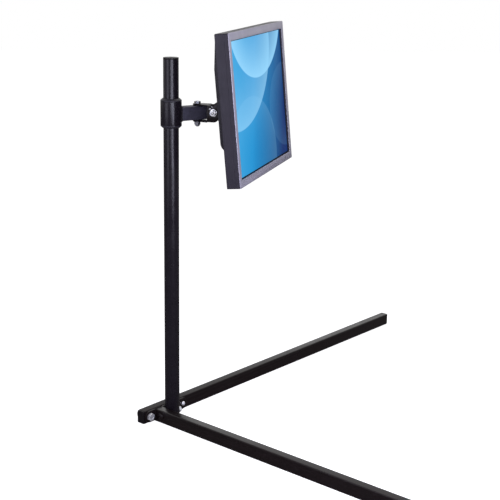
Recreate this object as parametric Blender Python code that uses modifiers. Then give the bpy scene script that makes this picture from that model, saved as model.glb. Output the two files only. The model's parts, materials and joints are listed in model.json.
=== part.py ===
"""Floor stand for a computer monitor, with a flat 5:4 monitor fitted.

Two rectangular steel tubes meet at a right angle on the floor. A round pole stands in their
corner and carries a collar that slides and turns on it. A short arm on the collar ends in a
head that swivels and tilts, and the monitor is screwed to the head's 100 mm plate.

The origin is on the floor, on the pole's axis. +Z is up, and +X halves the angle between the
legs. All sizes are in metres.
"""
import math

import bmesh
import bpy
from mathutils import Matrix, Vector

MM = 0.001

# Fits
GAP = 0.3 * MM              # left between two pieces that touch
RUNNING_FIT = 0.08 * MM     # radial play of a piece that turns or slides on another
SIDE_PLAY = 0.2 * MM        # end play between the discs, ears and lugs of the head
OVERCUT = 3 * MM            # how far a cutter runs past the face that it opens

# Floor frame
LEG_WIDTH = 22 * MM
LEG_HEIGHT = 32 * MM
LEG_WALL = 1.5 * MM
LEG_CORNER = 2.5 * MM
LEG_REACH = 944 * MM        # from the pole's axis to a leg's outer end
STUB_LENGTH = 34.2 * MM     # of the far leg past the near leg's side
CAP_FLANGE = 4 * MM
CAP_INSET = 0.4 * MM
CAP_PLUG = 7 * MM
FLANGE_THICKNESS = 4 * MM
FLANGE_MARGIN = 2 * MM      # of the flange's round ends inside the leg's height
FLANGE_RIGHT = 55.5 * MM    # the domed screw's distance from the pole's axis
BOLT_RISE = 0.5 * MM        # of the corner's fasteners above the leg's middle
RIVET_BODY = 4.5 * MM
RIVET_BULGE = 6.5 * MM
RIVET_LENGTH = 15 * MM

# Pole
POLE_DIAMETER = 35 * MM
POLE_WALL = 2 * MM
POLE_TOP = 863 * MM
POLE_CAP_FLANGE = 3 * MM
POLE_CAP_PLUG = 15 * MM
POLE_CAP_CHAMFER = 1 * MM
FOOT_FLANGE = 3 * MM
FOOT_PLUG = 6 * MM

# Collar and arm
COLLAR_WALL = 4 * MM
COLLAR_LENGTH = 52.8 * MM
COLLAR_DROP = 123.6 * MM    # of the collar's middle under the pole's top
BUSH_WALL = 2.34 * MM
RIM_HEIGHT = 6.4 * MM
RIM_STRAIGHT = 2.4 * MM
RIM_SLOPE = 4.2 * MM        # that the rim's chamfer draws in
BUSH_DEPTH = 20 * MM
SET_SCREW_TURN = 115.0      # degrees from the arm
SET_SCREW_RADIUS = 3 * MM
SET_SCREW_SOCKET = 1.75 * MM
ARM_AZIMUTH = 28.0
ARM_WIDTH = 26 * MM
ARM_DEPTH = 32 * MM
ARM_WALL = 2 * MM
ARM_CORNER = 4 * MM
ARM_DROP = 3.3 * MM         # of the arm's middle under the collar's
ARM_REACH = 68 * MM         # from the pole's axis to the vertical bolt
ARM_OVERHANG = 24 * MM      # of the arm tube past the vertical bolt
SLEEVE_WALL = 2 * MM

# Swivel bracket
SWIVEL_TURN = -50.0         # of the head from the arm's direction
STRAP = 2.5 * MM
STRAP_WIDTH = 30 * MM
STRAP_END = 10.5 * MM
STRAP_BEND = 4 * MM
GLIDE = 1.2 * MM
GLIDE_DIAMETER = 20 * MM
WEB_REACH = 31 * MM         # from the vertical bolt to the web's outer face
TILT_REACH = 45.8 * MM      # from the vertical bolt to the tilt bolt
TILT_RISE = 3.8 * MM        # of the tilt bolt above the arm's middle
LUG_END = 9 * MM            # of the lugs past the tilt bolt
LUG_CORNER = 10 * MM
LUG_INSET = 1.2 * MM        # of the lugs inside the bracket's height

# Tilt head
TILT_BACK = 5.45            # degrees that the screen leans back at rest
DISC = 1 * MM
DISC_RADIUS = 16 * MM
EAR = 3 * MM
EAR_RADIUS = 16.5 * MM
YOKE_TOP = 45 * MM
STOP_PIN = 1.5 * MM
STOP_PATH = 13 * MM
STOP_ANGLE = 124.0          # of the stop pins, up from the head's forward direction
STOP_SLOT = 3.5 * MM
STOP_MARGIN = 1.0
TILT_LIMIT_BACK = 15.0
TILT_LIMIT_FORWARD = 20.0
VESA_PITCH = 100 * MM
VESA_EDGE = 7.5 * MM        # of the plate outside its holes
VESA_CORNER = 8 * MM
VESA_THICKNESS = 3 * MM
VESA_LIFT = 21.2 * MM       # of the plate's centre above the tilt bolt

# Monitor
MONITOR_WIDTH = 394.5 * MM
MONITOR_HEIGHT = 325 * MM
MONITOR_FRONT = 112 * MM    # from the tilt bolt to the front face
SIDE_DEPTH = 31.2 * MM
FULL_DEPTH = 60 * MM
COVER_WALL = 2.2 * MM
COVER_CORNER = 3 * MM
BULGE_WIDTH = 269 * MM
BULGE_FOOT = 29 * MM        # of the raised part below the mounting chassis
BULGE_HEAD = 23 * MM        # of its flat back above the mounting chassis
BULGE_LEAN = 8 * MM         # that its back leans in towards its top
BULGE_MARGIN = 7.5 * MM     # from its top to the monitor's upper edge
BEZEL_DEPTH = 10 * MM
BEZEL_FACE = 5 * MM
SIDE_BAR = 14.25 * MM
LEVEL_BAR = 17 * MM
PANEL_OVERLAP = 4 * MM      # of the panel's edges behind the bezel
PANEL_THICKNESS = 3.5 * MM
GUIDE_THICKNESS = 6 * MM
LED_STRIP = 2 * MM
TRAY_SHEET = 0.8 * MM
CHASSIS_EDGE = 12 * MM      # of the chassis outside its holes
CHASSIS_SHEET = 1.5 * MM
BOARD_THICKNESS = 1.6 * MM
BOARD_SETBACK = 28 * MM     # of the boards' backs in front of the raised part's back
BOARD_BASE = 16 * MM        # of the boards' lower edge above the raised part's lower edge
BOARD_HEIGHTS = {"power_board": 140 * MM, "logic_board": 110 * MM}
BOARD_MARGINS = {"power_board": 32.3 * MM, "logic_board": 34.3 * MM}
BOARD_INNER_ENDS = {"power_board": -20 * MM, "logic_board": -8 * MM}
BOSS_RADIUS = 3.2 * MM
BOSS_MARGIN = 40 * MM       # from a boss to the first button
SOCKET_SETBACK = 17 * MM    # of the sockets' middles in front of the raised part's back
SOCKET_TOP = 18 * MM        # of the sockets' inner ends above the raised part's lower edge
INLET_SIDE = -60 * MM
INLET_SIZE = (18.6 * MM, 28 * MM)
INLET_HOLLOW = (16 * MM, 24 * MM)
INLET_FLOOR = 4 * MM
INLET_PIN = (4 * MM, 2 * MM)
INLET_PIN_DEPTH = 7 * MM    # of the pins' tips behind the inlet's mouth
INLET_PIN_PLACES = ((-2 * MM, -7 * MM), (-2 * MM, 7 * MM), (3 * MM, 0))
VIDEO_SIDES = (15 * MM, 65 * MM)
VIDEO_SHELLS = ((8.4 * MM, 18 * MM), (9 * MM, 24 * MM))
VIDEO_EAR = (14 * MM, 34 * MM)
VIDEO_EAR_RISE = 4 * MM
VIDEO_SHELL_LENGTH = 6 * MM
BUTTON_LENGTH = 10 * MM
BUTTON_WIDTH = 3.2 * MM
BUTTON_LIP = 1 * MM
BUTTON_PITCH = 15 * MM
BUTTON_SIDE = 97.25 * MM    # from the first button to the monitor's side
BUTTON_PROUD = 1.2 * MM
BUTTON_TRAVEL = 0.8 * MM
MENU_BUTTONS = 3
LIGHT_RADIUS = 1.5 * MM

# Components on the boards' backs: place from the board's lower left corner, width, height, depth
BOARD_BLOCKS = {
    "power_board": (
        (8 * MM, 40 * MM, 22 * MM, 22 * MM, 15 * MM),
        (38 * MM, 36 * MM, 28 * MM, 30 * MM, 18 * MM),
        (10 * MM, 84 * MM, 30 * MM, 26 * MM, 12 * MM),
        (50 * MM, 92 * MM, 22 * MM, 36 * MM, 14 * MM),
    ),
    "logic_board": (
        (18 * MM, 44 * MM, 28 * MM, 28 * MM, 3 * MM),
        (62 * MM, 40 * MM, 28 * MM, 20 * MM, 3 * MM),
        (68 * MM, 78 * MM, 30 * MM, 22 * MM, 6 * MM),
    ),
}

# Hex fasteners: shank radius, width across flats, head height, nut height, washer
M8 = {"shank": 4 * MM, "flats": 13 * MM, "head": 5.3 * MM, "nut": 8 * MM,
      "washer": 8.5 * MM, "sheet": 1.6 * MM}
M10 = {"shank": 5 * MM, "flats": 17 * MM, "head": 6.4 * MM, "nut": 8.4 * MM,
       "washer": 11 * MM, "sheet": 2 * MM}
THREAD_PAST_NUT = 2 * MM

# Round-headed screws: shank radius, head radius, head height
DOMED_M6 = {"shank": 3 * MM, "head": 5.5 * MM, "height": 4 * MM}
DOMED_M8 = {"shank": 4 * MM, "head": 8 * MM, "height": 3.5 * MM}
PAN_M4 = {"shank": 2 * MM, "head": 3.8 * MM, "height": 2.6 * MM}
PAN_M3 = {"shank": 1.5 * MM, "head": 2.8 * MM, "height": 2 * MM}

# Facets of a full turn
FINE = 64
ROUND = 32
SMALL = 16

# Finish: colour, metallic, roughness
FINISHES = {
    "black_paint": ((0.022, 0.020, 0.026), 0.0, 0.35),
    "black_plastic": ((0.018, 0.017, 0.020), 0.0, 0.5),
    "nylon": ((0.030, 0.029, 0.036), 0.0, 0.45),
    "zinc": ((0.78, 0.79, 0.82), 1.0, 0.28),
    "cover_plastic": ((0.045, 0.043, 0.055), 0.0, 0.5),
    "bezel_plastic": ((0.34, 0.31, 0.36), 0.0, 0.4),
    "screen": ((0.04, 0.25, 0.55), 0.0, 0.2),
    "clear_plastic": ((0.85, 0.87, 0.9), 0.0, 0.1),
    "sheet_steel": ((0.62, 0.63, 0.65), 1.0, 0.35),
    "circuit_board": ((0.05, 0.22, 0.10), 0.0, 0.5),
}

# The far leg runs along the corner frame's Y and the near leg along its X
FAR_LEG_FACE = POLE_DIAMETER / 2 + GAP + FLANGE_THICKNESS + GAP
NEAR_LEG_FACE = POLE_DIAMETER / 2 + GAP
STUB_REACH = NEAR_LEG_FACE + LEG_WIDTH + STUB_LENGTH
CORNER_BOLT_PLACE = -(STUB_REACH + NEAR_LEG_FACE + LEG_WIDTH) / 2
BOLT_HEIGHT = LEG_HEIGHT / 2 + BOLT_RISE
FLANGE_EAR = LEG_HEIGHT / 2 - FLANGE_MARGIN

# The bushes fill the collar's bore round the pole
COLLAR_HEIGHT = POLE_TOP - COLLAR_DROP
COLLAR_BORE = POLE_DIAMETER / 2 + RUNNING_FIT + BUSH_WALL + RUNNING_FIT
COLLAR_RADIUS = COLLAR_BORE + COLLAR_WALL
ARM_HEIGHT = COLLAR_HEIGHT - ARM_DROP
TILT_HEIGHT = ARM_HEIGHT + TILT_RISE

# Monitor heights run up from its centre
VESA_SIDE = VESA_PITCH + 2 * VESA_EDGE
CHASSIS_SIDE = VESA_PITCH + 2 * CHASSIS_EDGE
BULGE_STEP = -CHASSIS_SIDE / 2 - BULGE_FOOT
BULGE_FLAT_TOP = CHASSIS_SIDE / 2 + BULGE_HEAD
BULGE_TOP = MONITOR_HEIGHT / 2 - BULGE_MARGIN
OPENING_WIDTH = MONITOR_WIDTH - 2 * SIDE_BAR
OPENING_HEIGHT = MONITOR_HEIGHT - 2 * LEVEL_BAR
BOARD_DEPTH = FULL_DEPTH - BOARD_SETBACK
SOCKET_DEPTH = FULL_DEPTH - SOCKET_SETBACK
BUTTON_START = MONITOR_WIDTH / 2 - BUTTON_SIDE
BOSS_SPREAD = BUTTON_START - BOSS_MARGIN

# A flat outline's X and Y turned to stand in another plane
FLAT = Matrix.Identity(4)
UPRIGHT_XZ = Matrix.Rotation(math.radians(90), 4, "X")
UPRIGHT_YZ = Matrix(((0, 0, 1, 0), (1, 0, 0, 0), (0, 1, 0, 0), (0, 0, 0, 1)))
Z_TO_X = Matrix.Rotation(math.radians(90), 4, "Y")


def start_scene():
    """Empty the scene and return the collections for the parts and for the cutters."""
    for old in list(bpy.data.objects):
        bpy.data.objects.remove(old, do_unlink=True)
    collections = []
    for name in ("monitor_stand", "cutters"):
        collection = bpy.data.collections.new(name)
        bpy.context.scene.collection.children.link(collection)
        collections.append(collection)
    return collections


PARTS, CUTTERS = start_scene()


def frame(name, parent=None, location=(0, 0, 0), turn=0.0, tilt=0.0):
    """Empty on a joint's axis: turned about Z, then tilted about its own Y, both in degrees."""
    empty = bpy.data.objects.new(name, None)
    PARTS.objects.link(empty)
    empty.empty_display_size = 20 * MM
    empty.parent = parent
    empty.location = location
    empty.rotation_euler = (0, math.radians(tilt), math.radians(turn))
    return empty


def finish_material(name, finish):
    """Principled material of one part."""
    colour, metallic, roughness = FINISHES[finish]
    material = bpy.data.materials.new(name + "_" + finish)
    material.use_nodes = True
    shader = material.node_tree.nodes["Principled BSDF"]
    shader.inputs["Base Color"].default_value = (*colour, 1)
    shader.inputs["Metallic"].default_value = metallic
    shader.inputs["Roughness"].default_value = roughness
    material.diffuse_color = (*colour, 1)
    return material


def part(name, mesh, finish, parent=None):
    """Named part with its material, shaded smooth between its sharp edges."""
    mesh.name = name
    mesh.materials.clear()
    mesh.materials.append(finish_material(name, finish))
    mesh.shade_smooth()
    mesh.set_sharp_from_angle(angle=math.radians(30))
    thing = bpy.data.objects.new(name, mesh)
    PARTS.objects.link(thing)
    thing.parent = parent
    return thing


def apply_tool(target, mesh, operation):
    """Cut, join or trim a part with a hidden shape in the same frame."""
    tool = bpy.data.objects.new(target.name + "_" + operation.lower(), mesh)
    CUTTERS.objects.link(tool)
    tool.parent = target.parent
    tool.hide_render = True
    tool.display_type = "WIRE"
    modifier = target.modifiers.new(operation.lower(), "BOOLEAN")
    modifier.operation = operation
    modifier.object = tool
    return target


def to_mesh(shape):
    """Mesh datablock of a bmesh, which is freed."""
    mesh = bpy.data.meshes.new("shape")
    shape.to_mesh(mesh)
    shape.free()
    return mesh


def evaluated_mesh(holder):
    """Welded mesh of a temporary object's evaluated shape; the object is removed."""
    depsgraph = bpy.context.evaluated_depsgraph_get()
    depsgraph.update()
    mesh = bpy.data.meshes.new_from_object(holder.evaluated_get(depsgraph))
    bpy.data.objects.remove(holder, do_unlink=True)
    shape = bmesh.new()
    shape.from_mesh(mesh)
    bmesh.ops.remove_doubles(shape, verts=shape.verts, dist=0.001 * MM)
    bmesh.ops.recalc_face_normals(shape, faces=shape.faces)
    shape.to_mesh(mesh)
    shape.free()
    return mesh


def merged(meshes):
    """One mesh of several cutters."""
    shape = bmesh.new()
    for mesh in meshes:
        shape.from_mesh(mesh)
    return to_mesh(shape)


def placed(mesh, matrix):
    """The mesh, moved by a matrix."""
    mesh.transform(matrix)
    return mesh


def box(low, high):
    """Box between two corners."""
    low, high = Vector(low), Vector(high)
    place = Matrix.Translation((low + high) / 2) @ Matrix.Diagonal((*(high - low), 1))
    shape = bmesh.new()
    bmesh.ops.create_cube(shape, size=1.0, matrix=place)
    return to_mesh(shape)


def rod(radius, start, end, sides=ROUND):
    """Closed cylinder, or a prism of few sides, between two points."""
    start, end = Vector(start), Vector(end)
    along = end - start
    place = Matrix.Translation((start + end) / 2) @ along.to_track_quat("Z", "Y").to_matrix().to_4x4()
    shape = bmesh.new()
    bmesh.ops.create_cone(shape, cap_ends=True, segments=sides, radius1=radius, radius2=radius,
                          depth=along.length, matrix=place)
    return to_mesh(shape)


def turned(profile, sides=ROUND):
    """Mesh turned about Z from a list of (radius, height) points that runs down the outer side.

    A profile that doesn't start on the axis is a ring's section and closes up its inner side.
    """
    shape = bmesh.new()
    verts = [shape.verts.new((radius, 0, height)) for radius, height in profile]
    for first, second in zip(verts, verts[1:]):
        shape.edges.new((first, second))
    if profile[0][0] > 0:
        shape.edges.new((verts[-1], verts[0]))
    holder = bpy.data.objects.new("profile", to_mesh(shape))
    bpy.context.scene.collection.objects.link(holder)
    screw = holder.modifiers.new("turn", "SCREW")
    screw.steps = sides
    screw.render_steps = sides
    screw.use_merge_vertices = True
    screw.merge_threshold = 0.001 * MM
    return evaluated_mesh(holder)


def ring(outer, inner, low, high, sides=ROUND):
    """Plain ring about Z."""
    return turned([(outer, high), (outer, low), (inner, low), (inner, high)], sides)


def plate(outlines, low, high, place=FLAT):
    """Flat piece between two heights: the first outline is its edge, the others are holes."""
    curve = bpy.data.curves.new("outline", "CURVE")
    curve.dimensions = "2D"
    curve.fill_mode = "BOTH"
    curve.extrude = (high - low) / 2
    for outline in outlines:
        spline = curve.splines.new("POLY")
        spline.points.add(len(outline) - 1)
        for point, (x, y) in zip(spline.points, outline):
            point.co = (x, y, 0, 1)
        spline.use_cyclic_u = True
    holder = bpy.data.objects.new("outline", curve)
    bpy.context.scene.collection.objects.link(holder)
    mesh = evaluated_mesh(holder)
    return placed(mesh, place @ Matrix.Translation((0, 0, (low + high) / 2)))


def circle(centre, radius, sides=ROUND):
    """Points round a circle."""
    turns = [2 * math.pi * step / sides for step in range(sides)]
    return [(centre[0] + radius * math.cos(turn), centre[1] + radius * math.sin(turn)) for turn in turns]


def rounded_rectangle(low, high, radius, steps=4):
    """Outline of a rectangle with round corners."""
    middles = [(high[0] - radius, high[1] - radius), (low[0] + radius, high[1] - radius),
               (low[0] + radius, low[1] + radius), (high[0] - radius, low[1] + radius)]
    points = []
    for quarter, (x, y) in enumerate(middles):
        for step in range(steps + 1):
            turn = math.pi / 2 * (quarter + step / steps)
            points.append((x + radius * math.cos(turn), y + radius * math.sin(turn)))
    return points


def turns_right(first, second, third):
    """Whether the way from first through second to third runs straight on or turns right."""
    across = (second[0] - first[0]) * (third[1] - second[1])
    return across - (second[1] - first[1]) * (third[0] - second[0]) <= 1e-12


def stretched_outline(points):
    """Convex outline round a set of points."""
    ordered = sorted(set(points))
    chains = []
    for run in (ordered, ordered[::-1]):
        chain = []
        for point in run:
            while len(chain) > 1 and turns_right(chain[-2], chain[-1], point):
                chain.pop()
            chain.append(point)
        chains.append(chain[:-1])
    return chains[0] + chains[1]


def arc_points(centre, radius, first, last, steps):
    """Points on an arc from one angle to another, in radians."""
    turns = [first + (last - first) * step / steps for step in range(steps + 1)]
    return [(centre[0] + radius * math.cos(turn), centre[1] + radius * math.sin(turn)) for turn in turns]


def arc_slot(radius, half_width, first, last):
    """Outline of a round-ended slot along an arc about (0, 0), from one angle to another in degrees."""
    first, last = math.radians(first), math.radians(last)
    ends = [(radius * math.cos(turn), radius * math.sin(turn)) for turn in (first, last)]
    outer = arc_points((0, 0), radius + half_width, first, last, 8)
    inner = arc_points((0, 0), radius - half_width, last, first, 8)
    last_end = arc_points(ends[1], half_width, last, last + math.pi, 6)[1:-1]
    first_end = arc_points(ends[0], half_width, first + math.pi, first + 2 * math.pi, 6)[1:-1]
    return outer + last_end + inner + first_end


def hex_bolt(name, size, top, tip, direction, origin, parent):
    """Zinc hex bolt: its head's top and its shank's tip are distances along a direction."""
    origin, direction = Vector(origin), Vector(direction)
    under = top - math.copysign(size["head"], top - tip)
    head = rod(size["flats"] / math.sqrt(3), origin + direction * under, origin + direction * top, 6)
    shank = rod(size["shank"], origin + direction * (under + top) / 2, origin + direction * tip)
    return apply_tool(part(name, head, "zinc", parent), shank, "UNION")


def hex_nut(name, size, seat, direction, origin, parent, flange=0.0):
    """Zinc hex nut that stands on a seat, away along a direction, with a flange if it has one."""
    origin, direction = Vector(origin), Vector(direction)
    end = seat + flange + size["nut"]
    start = origin + direction * (seat + flange / 2)
    body = rod(size["flats"] / math.sqrt(3), start, origin + direction * end, 6)
    nut = part(name, body, "zinc", parent)
    if flange:
        foot = rod(size["washer"], origin + direction * seat, origin + direction * (seat + flange))
        apply_tool(nut, foot, "UNION")
    before, past = origin + direction * (seat - OVERCUT), origin + direction * (end + OVERCUT)
    return apply_tool(nut, rod(size["shank"] + GAP, before, past), "DIFFERENCE")


def dome(screw):
    """Half section of a round head that stands on height 0, from its top down to its rim."""
    radius, height = screw["head"], screw["height"]
    ball = (radius * radius + height * height) / (2 * height)
    turns = [math.asin(radius / ball) * step / 6 for step in range(7)]
    return [(ball * math.sin(turn), height - ball + ball * math.cos(turn)) for turn in turns]


def domed_screw(screw, length):
    """Round-headed screw along Z: its head stands on height 0 and its shank hangs below."""
    return turned(dome(screw) + [(screw["shank"], 0), (screw["shank"], -length), (0, -length)], 24)


def pan_screw(screw, length):
    """Small screw along Z, with a low head that is drawn in at the top."""
    head, height = screw["head"], screw["height"]
    rim = [(0, height), (0.6 * head, height), (head, 0.6 * height), (head, 0)]
    return turned(rim + [(screw["shank"], 0), (screw["shank"], -length), (0, -length)], SMALL)


def leg_section(low, inset=0.0):
    """Outline across a leg that starts at one side position, drawn in by an inset."""
    radius = max(LEG_CORNER - inset / 2, LEG_CORNER / 4)
    return rounded_rectangle((low + inset, inset), (low + LEG_WIDTH - inset, LEG_HEIGHT - inset), radius)


def leg_cap(name, low, end, inward, along, parent):
    """Plug with a flange in a leg's open end; inward is the direction into the tube, 1 or -1."""
    flange = sorted((end, end + inward * CAP_FLANGE))
    plug = sorted((end + inward * CAP_FLANGE / 2, end + inward * (CAP_FLANGE + CAP_PLUG)))
    place = UPRIGHT_YZ
    if along == "Y":
        place = UPRIGHT_XZ
        flange, plug = [[-high, -low] for low, high in (flange, plug)]
    cap = part(name, plate([leg_section(low, CAP_INSET)], *flange, place), "black_plastic", parent)
    return apply_tool(cap, plate([leg_section(low, LEG_WALL + GAP)], *plug, place), "UNION")


def build_legs(corner):
    """Two rectangular tubes, the flange between them and the caps in their open ends."""
    far_low = -FAR_LEG_FACE - LEG_WIDTH
    near_low = -NEAR_LEG_FACE - LEG_WIDTH
    tube_end = LEG_REACH - CAP_FLANGE - GAP
    stub_end = -STUB_REACH + CAP_FLANGE + GAP
    bolt_hole = M10["shank"] + GAP
    at_flange = -FAR_LEG_FACE + OVERCUT

    walls = [leg_section(far_low), leg_section(far_low, LEG_WALL)]
    far_tube = plate(walls, -tube_end, -stub_end, UPRIGHT_XZ)
    far_leg = part("far_leg", far_tube, "black_paint", corner)
    bolt_back = (far_low - OVERCUT, CORNER_BOLT_PLACE, BOLT_HEIGHT)
    rivet_back = (-FAR_LEG_FACE - LEG_WALL - OVERCUT, FLANGE_RIGHT, BOLT_HEIGHT)
    holes = [rod(bolt_hole, bolt_back, (at_flange, CORNER_BOLT_PLACE, BOLT_HEIGHT)),
             rod(RIVET_BODY + GAP, rivet_back, (at_flange, FLANGE_RIGHT, BOLT_HEIGHT))]
    apply_tool(far_leg, merged(holes), "DIFFERENCE")

    near_start = -FAR_LEG_FACE + GAP + FLANGE_THICKNESS + GAP
    walls = [leg_section(near_low), leg_section(near_low, LEG_WALL)]
    near_tube = plate(walls, near_start, tube_end, UPRIGHT_YZ)
    near_leg = part("near_leg", near_tube, "black_paint", corner)
    bolt_start = (0, near_low - OVERCUT, BOLT_HEIGHT)
    bolt_end = (0, -NEAR_LEG_FACE + OVERCUT, BOLT_HEIGHT)
    apply_tool(near_leg, rod(M8["shank"] + GAP, bolt_start, bolt_end), "DIFFERENCE")

    middles = [(CORNER_BOLT_PLACE, BOLT_HEIGHT), (FLANGE_RIGHT, BOLT_HEIGHT)]
    ends = [point for middle in middles for point in circle(middle, FLANGE_EAR)]
    edge = stretched_outline(ends)
    holes = [circle(middles[0], bolt_hole), circle(middles[1], DOMED_M6["shank"] + GAP)]
    flange_low = -FAR_LEG_FACE + GAP
    flange = plate([edge] + holes, flange_low, flange_low + FLANGE_THICKNESS, UPRIGHT_YZ)
    part("corner_flange", flange, "black_paint", corner)

    leg_cap("far_leg_cap", far_low, LEG_REACH, -1, "Y", corner)
    leg_cap("stub_cap", far_low, -STUB_REACH, 1, "Y", corner)
    leg_cap("near_leg_cap", near_low, LEG_REACH, -1, "X", corner)


def build_corner_fasteners(corner):
    """The bolts that hold flange, legs and pole together, with their nuts."""
    flange_face = -FAR_LEG_FACE + GAP + FLANGE_THICKNESS
    at_ear = (0, CORNER_BOLT_PLACE, BOLT_HEIGHT)
    leg_back = -FAR_LEG_FACE - LEG_WIDTH - GAP
    tip = leg_back - M10["sheet"] - M10["nut"] - THREAD_PAST_NUT
    hex_bolt("corner_bolt", M10, flange_face + GAP + M10["head"], tip, (1, 0, 0), at_ear, corner)
    hex_nut("corner_nut", M10, -leg_back, (-1, 0, 0), at_ear, corner, M10["sheet"])

    at_screw = Matrix.Translation((flange_face + GAP, FLANGE_RIGHT, BOLT_HEIGHT)) @ Z_TO_X
    reach = GAP + FLANGE_THICKNESS + GAP + RIVET_LENGTH - THREAD_PAST_NUT
    part("flange_screw", placed(domed_screw(DOMED_M6, reach), at_screw), "zinc", corner)
    bore = DOMED_M6["shank"] + GAP
    behind = -LEG_WALL - GAP
    bulge = RIVET_BULGE - RIVET_BODY
    section = [(RIVET_BODY, 0), (RIVET_BODY, behind), (RIVET_BULGE, behind),
               (RIVET_BULGE, behind - bulge), (RIVET_BODY, behind - 2 * bulge),
               (RIVET_BODY, -RIVET_LENGTH), (bore, -RIVET_LENGTH), (bore, 0)]
    at_rivet = Matrix.Translation((-FAR_LEG_FACE, FLANGE_RIGHT, BOLT_HEIGHT)) @ Z_TO_X
    part("rivet_nut", placed(turned(section, 24), at_rivet), "zinc", corner)

    pole_side = POLE_DIAMETER / 2 + GAP
    nut_end = pole_side + M8["sheet"] + M8["nut"]
    head_seat = NEAR_LEG_FACE + LEG_WIDTH + GAP
    at_head = Matrix.Translation((0, -head_seat, BOLT_HEIGHT)) @ UPRIGHT_XZ
    pole_bolt = placed(domed_screw(DOMED_M8, head_seat + nut_end + THREAD_PAST_NUT), at_head)
    part("pole_bolt", pole_bolt, "black_paint", corner)
    hex_nut("pole_nut", M8, pole_side, (0, 1, 0), (0, 0, BOLT_HEIGHT), corner, M8["sheet"])


def build_pole(corner):
    """Round pole on the floor between the legs, with its cap and its foot plug."""
    radius = POLE_DIAMETER / 2
    inner = radius - POLE_WALL
    cap_low = POLE_TOP - POLE_CAP_FLANGE
    pole = part("pole", ring(radius, inner, FOOT_FLANGE + GAP, cap_low - GAP, FINE), "black_paint", corner)
    reach = radius + OVERCUT
    apply_tool(pole, rod(M8["shank"] + GAP, (0, -reach, BOLT_HEIGHT), (0, reach, BOLT_HEIGHT)), "DIFFERENCE")

    plug = inner - GAP
    cap = [(0, POLE_TOP), (radius - POLE_CAP_CHAMFER, POLE_TOP),
           (radius, POLE_TOP - POLE_CAP_CHAMFER), (radius, cap_low),
           (plug, cap_low), (plug, cap_low - POLE_CAP_PLUG), (0, cap_low - POLE_CAP_PLUG)]
    part("pole_cap", turned(cap, FINE), "black_plastic", corner)
    foot_top = FOOT_FLANGE + FOOT_PLUG
    foot = [(0, foot_top), (plug, foot_top), (plug, FOOT_FLANGE),
            (radius, FOOT_FLANGE), (radius, 0), (0, 0)]
    part("foot_plug", turned(foot, FINE), "black_plastic", corner)


def build_collar(arm):
    """Steel sleeve that turns on two flanged bushes, with its set screw."""
    radius = COLLAR_RADIUS
    spigot = COLLAR_BORE - RUNNING_FIT
    pole_fit = POLE_DIAMETER / 2 + RUNNING_FIT
    sleeve_low = COLLAR_HEIGHT - COLLAR_LENGTH / 2
    sleeve_high = COLLAR_HEIGHT + COLLAR_LENGTH / 2

    outline = [(radius - RIM_SLOPE, RIM_HEIGHT), (radius, RIM_STRAIGHT), (radius, 0), (spigot, 0),
               (spigot, -BUSH_DEPTH), (pole_fit, -BUSH_DEPTH), (pole_fit, RIM_HEIGHT)]
    for name, face, up in (("upper_bush", sleeve_high + GAP, 1), ("lower_bush", sleeve_low - GAP, -1)):
        section = [(across, face + up * height) for across, height in outline][::up]
        part(name, turned(section, FINE), "nylon", arm)

    wall = ring(radius, COLLAR_BORE, sleeve_low, sleeve_high, FINE)
    sleeve = part("collar_sleeve", wall, "black_paint", arm)
    turn = math.radians(SET_SCREW_TURN)
    way = Vector((math.cos(turn), math.sin(turn), 0))
    middle = Vector((0, 0, COLLAR_HEIGHT))
    tip = middle + way * (POLE_DIAMETER / 2 + GAP)
    end = middle + way * (radius - 2 * GAP)
    set_screw = part("set_screw", rod(SET_SCREW_RADIUS, tip, end, SMALL), "zinc", arm)
    socket = rod(SET_SCREW_SOCKET, end - way * SET_SCREW_RADIUS, end + way * OVERCUT, 6)
    apply_tool(set_screw, socket, "DIFFERENCE")
    before, past = middle + way * (COLLAR_BORE - OVERCUT), middle + way * (radius + OVERCUT)
    apply_tool(sleeve, rod(SET_SCREW_RADIUS + GAP, before, past, SMALL), "DIFFERENCE")


def build_arm(arm):
    """Short rectangular tube from the collar to the vertical bolt, with a sleeve for the bolt."""
    half = ARM_WIDTH / 2
    low, high = ARM_HEIGHT - ARM_DEPTH / 2, ARM_HEIGHT + ARM_DEPTH / 2
    outer = rounded_rectangle((-half, low), (half, high), ARM_CORNER)
    inner_corner = (-half + ARM_WALL, low + ARM_WALL)
    inner = rounded_rectangle(inner_corner, (half - ARM_WALL, high - ARM_WALL), ARM_CORNER / 2)
    tube = plate([outer, inner], POLE_DIAMETER / 2, ARM_REACH + ARM_OVERHANG, UPRIGHT_YZ)
    arm_tube = part("arm_tube", tube, "black_paint", arm)
    contour = rod(COLLAR_RADIUS + GAP, (0, 0, low - OVERCUT), (0, 0, high + OVERCUT), FINE)
    apply_tool(arm_tube, contour, "DIFFERENCE")
    bore = M8["shank"] + RUNNING_FIT
    sleeve_start = (ARM_REACH, 0, low + ARM_WALL / 2)
    sleeve = rod(bore + SLEEVE_WALL, sleeve_start, (ARM_REACH, 0, high - ARM_WALL / 2))
    apply_tool(arm_tube, sleeve, "UNION")
    hole = rod(bore, (ARM_REACH, 0, low - OVERCUT), (ARM_REACH, 0, high + OVERCUT))
    apply_tool(arm_tube, hole, "DIFFERENCE")


def strap_heights():
    """Inner and outer heights of the strap: inner low, inner high, low and high."""
    inner_low = ARM_HEIGHT - ARM_DEPTH / 2 - GLIDE - GAP
    inner_high = ARM_HEIGHT + ARM_DEPTH / 2 + GLIDE + GAP
    return inner_low, inner_high, inner_low - STRAP, inner_high + STRAP


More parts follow.
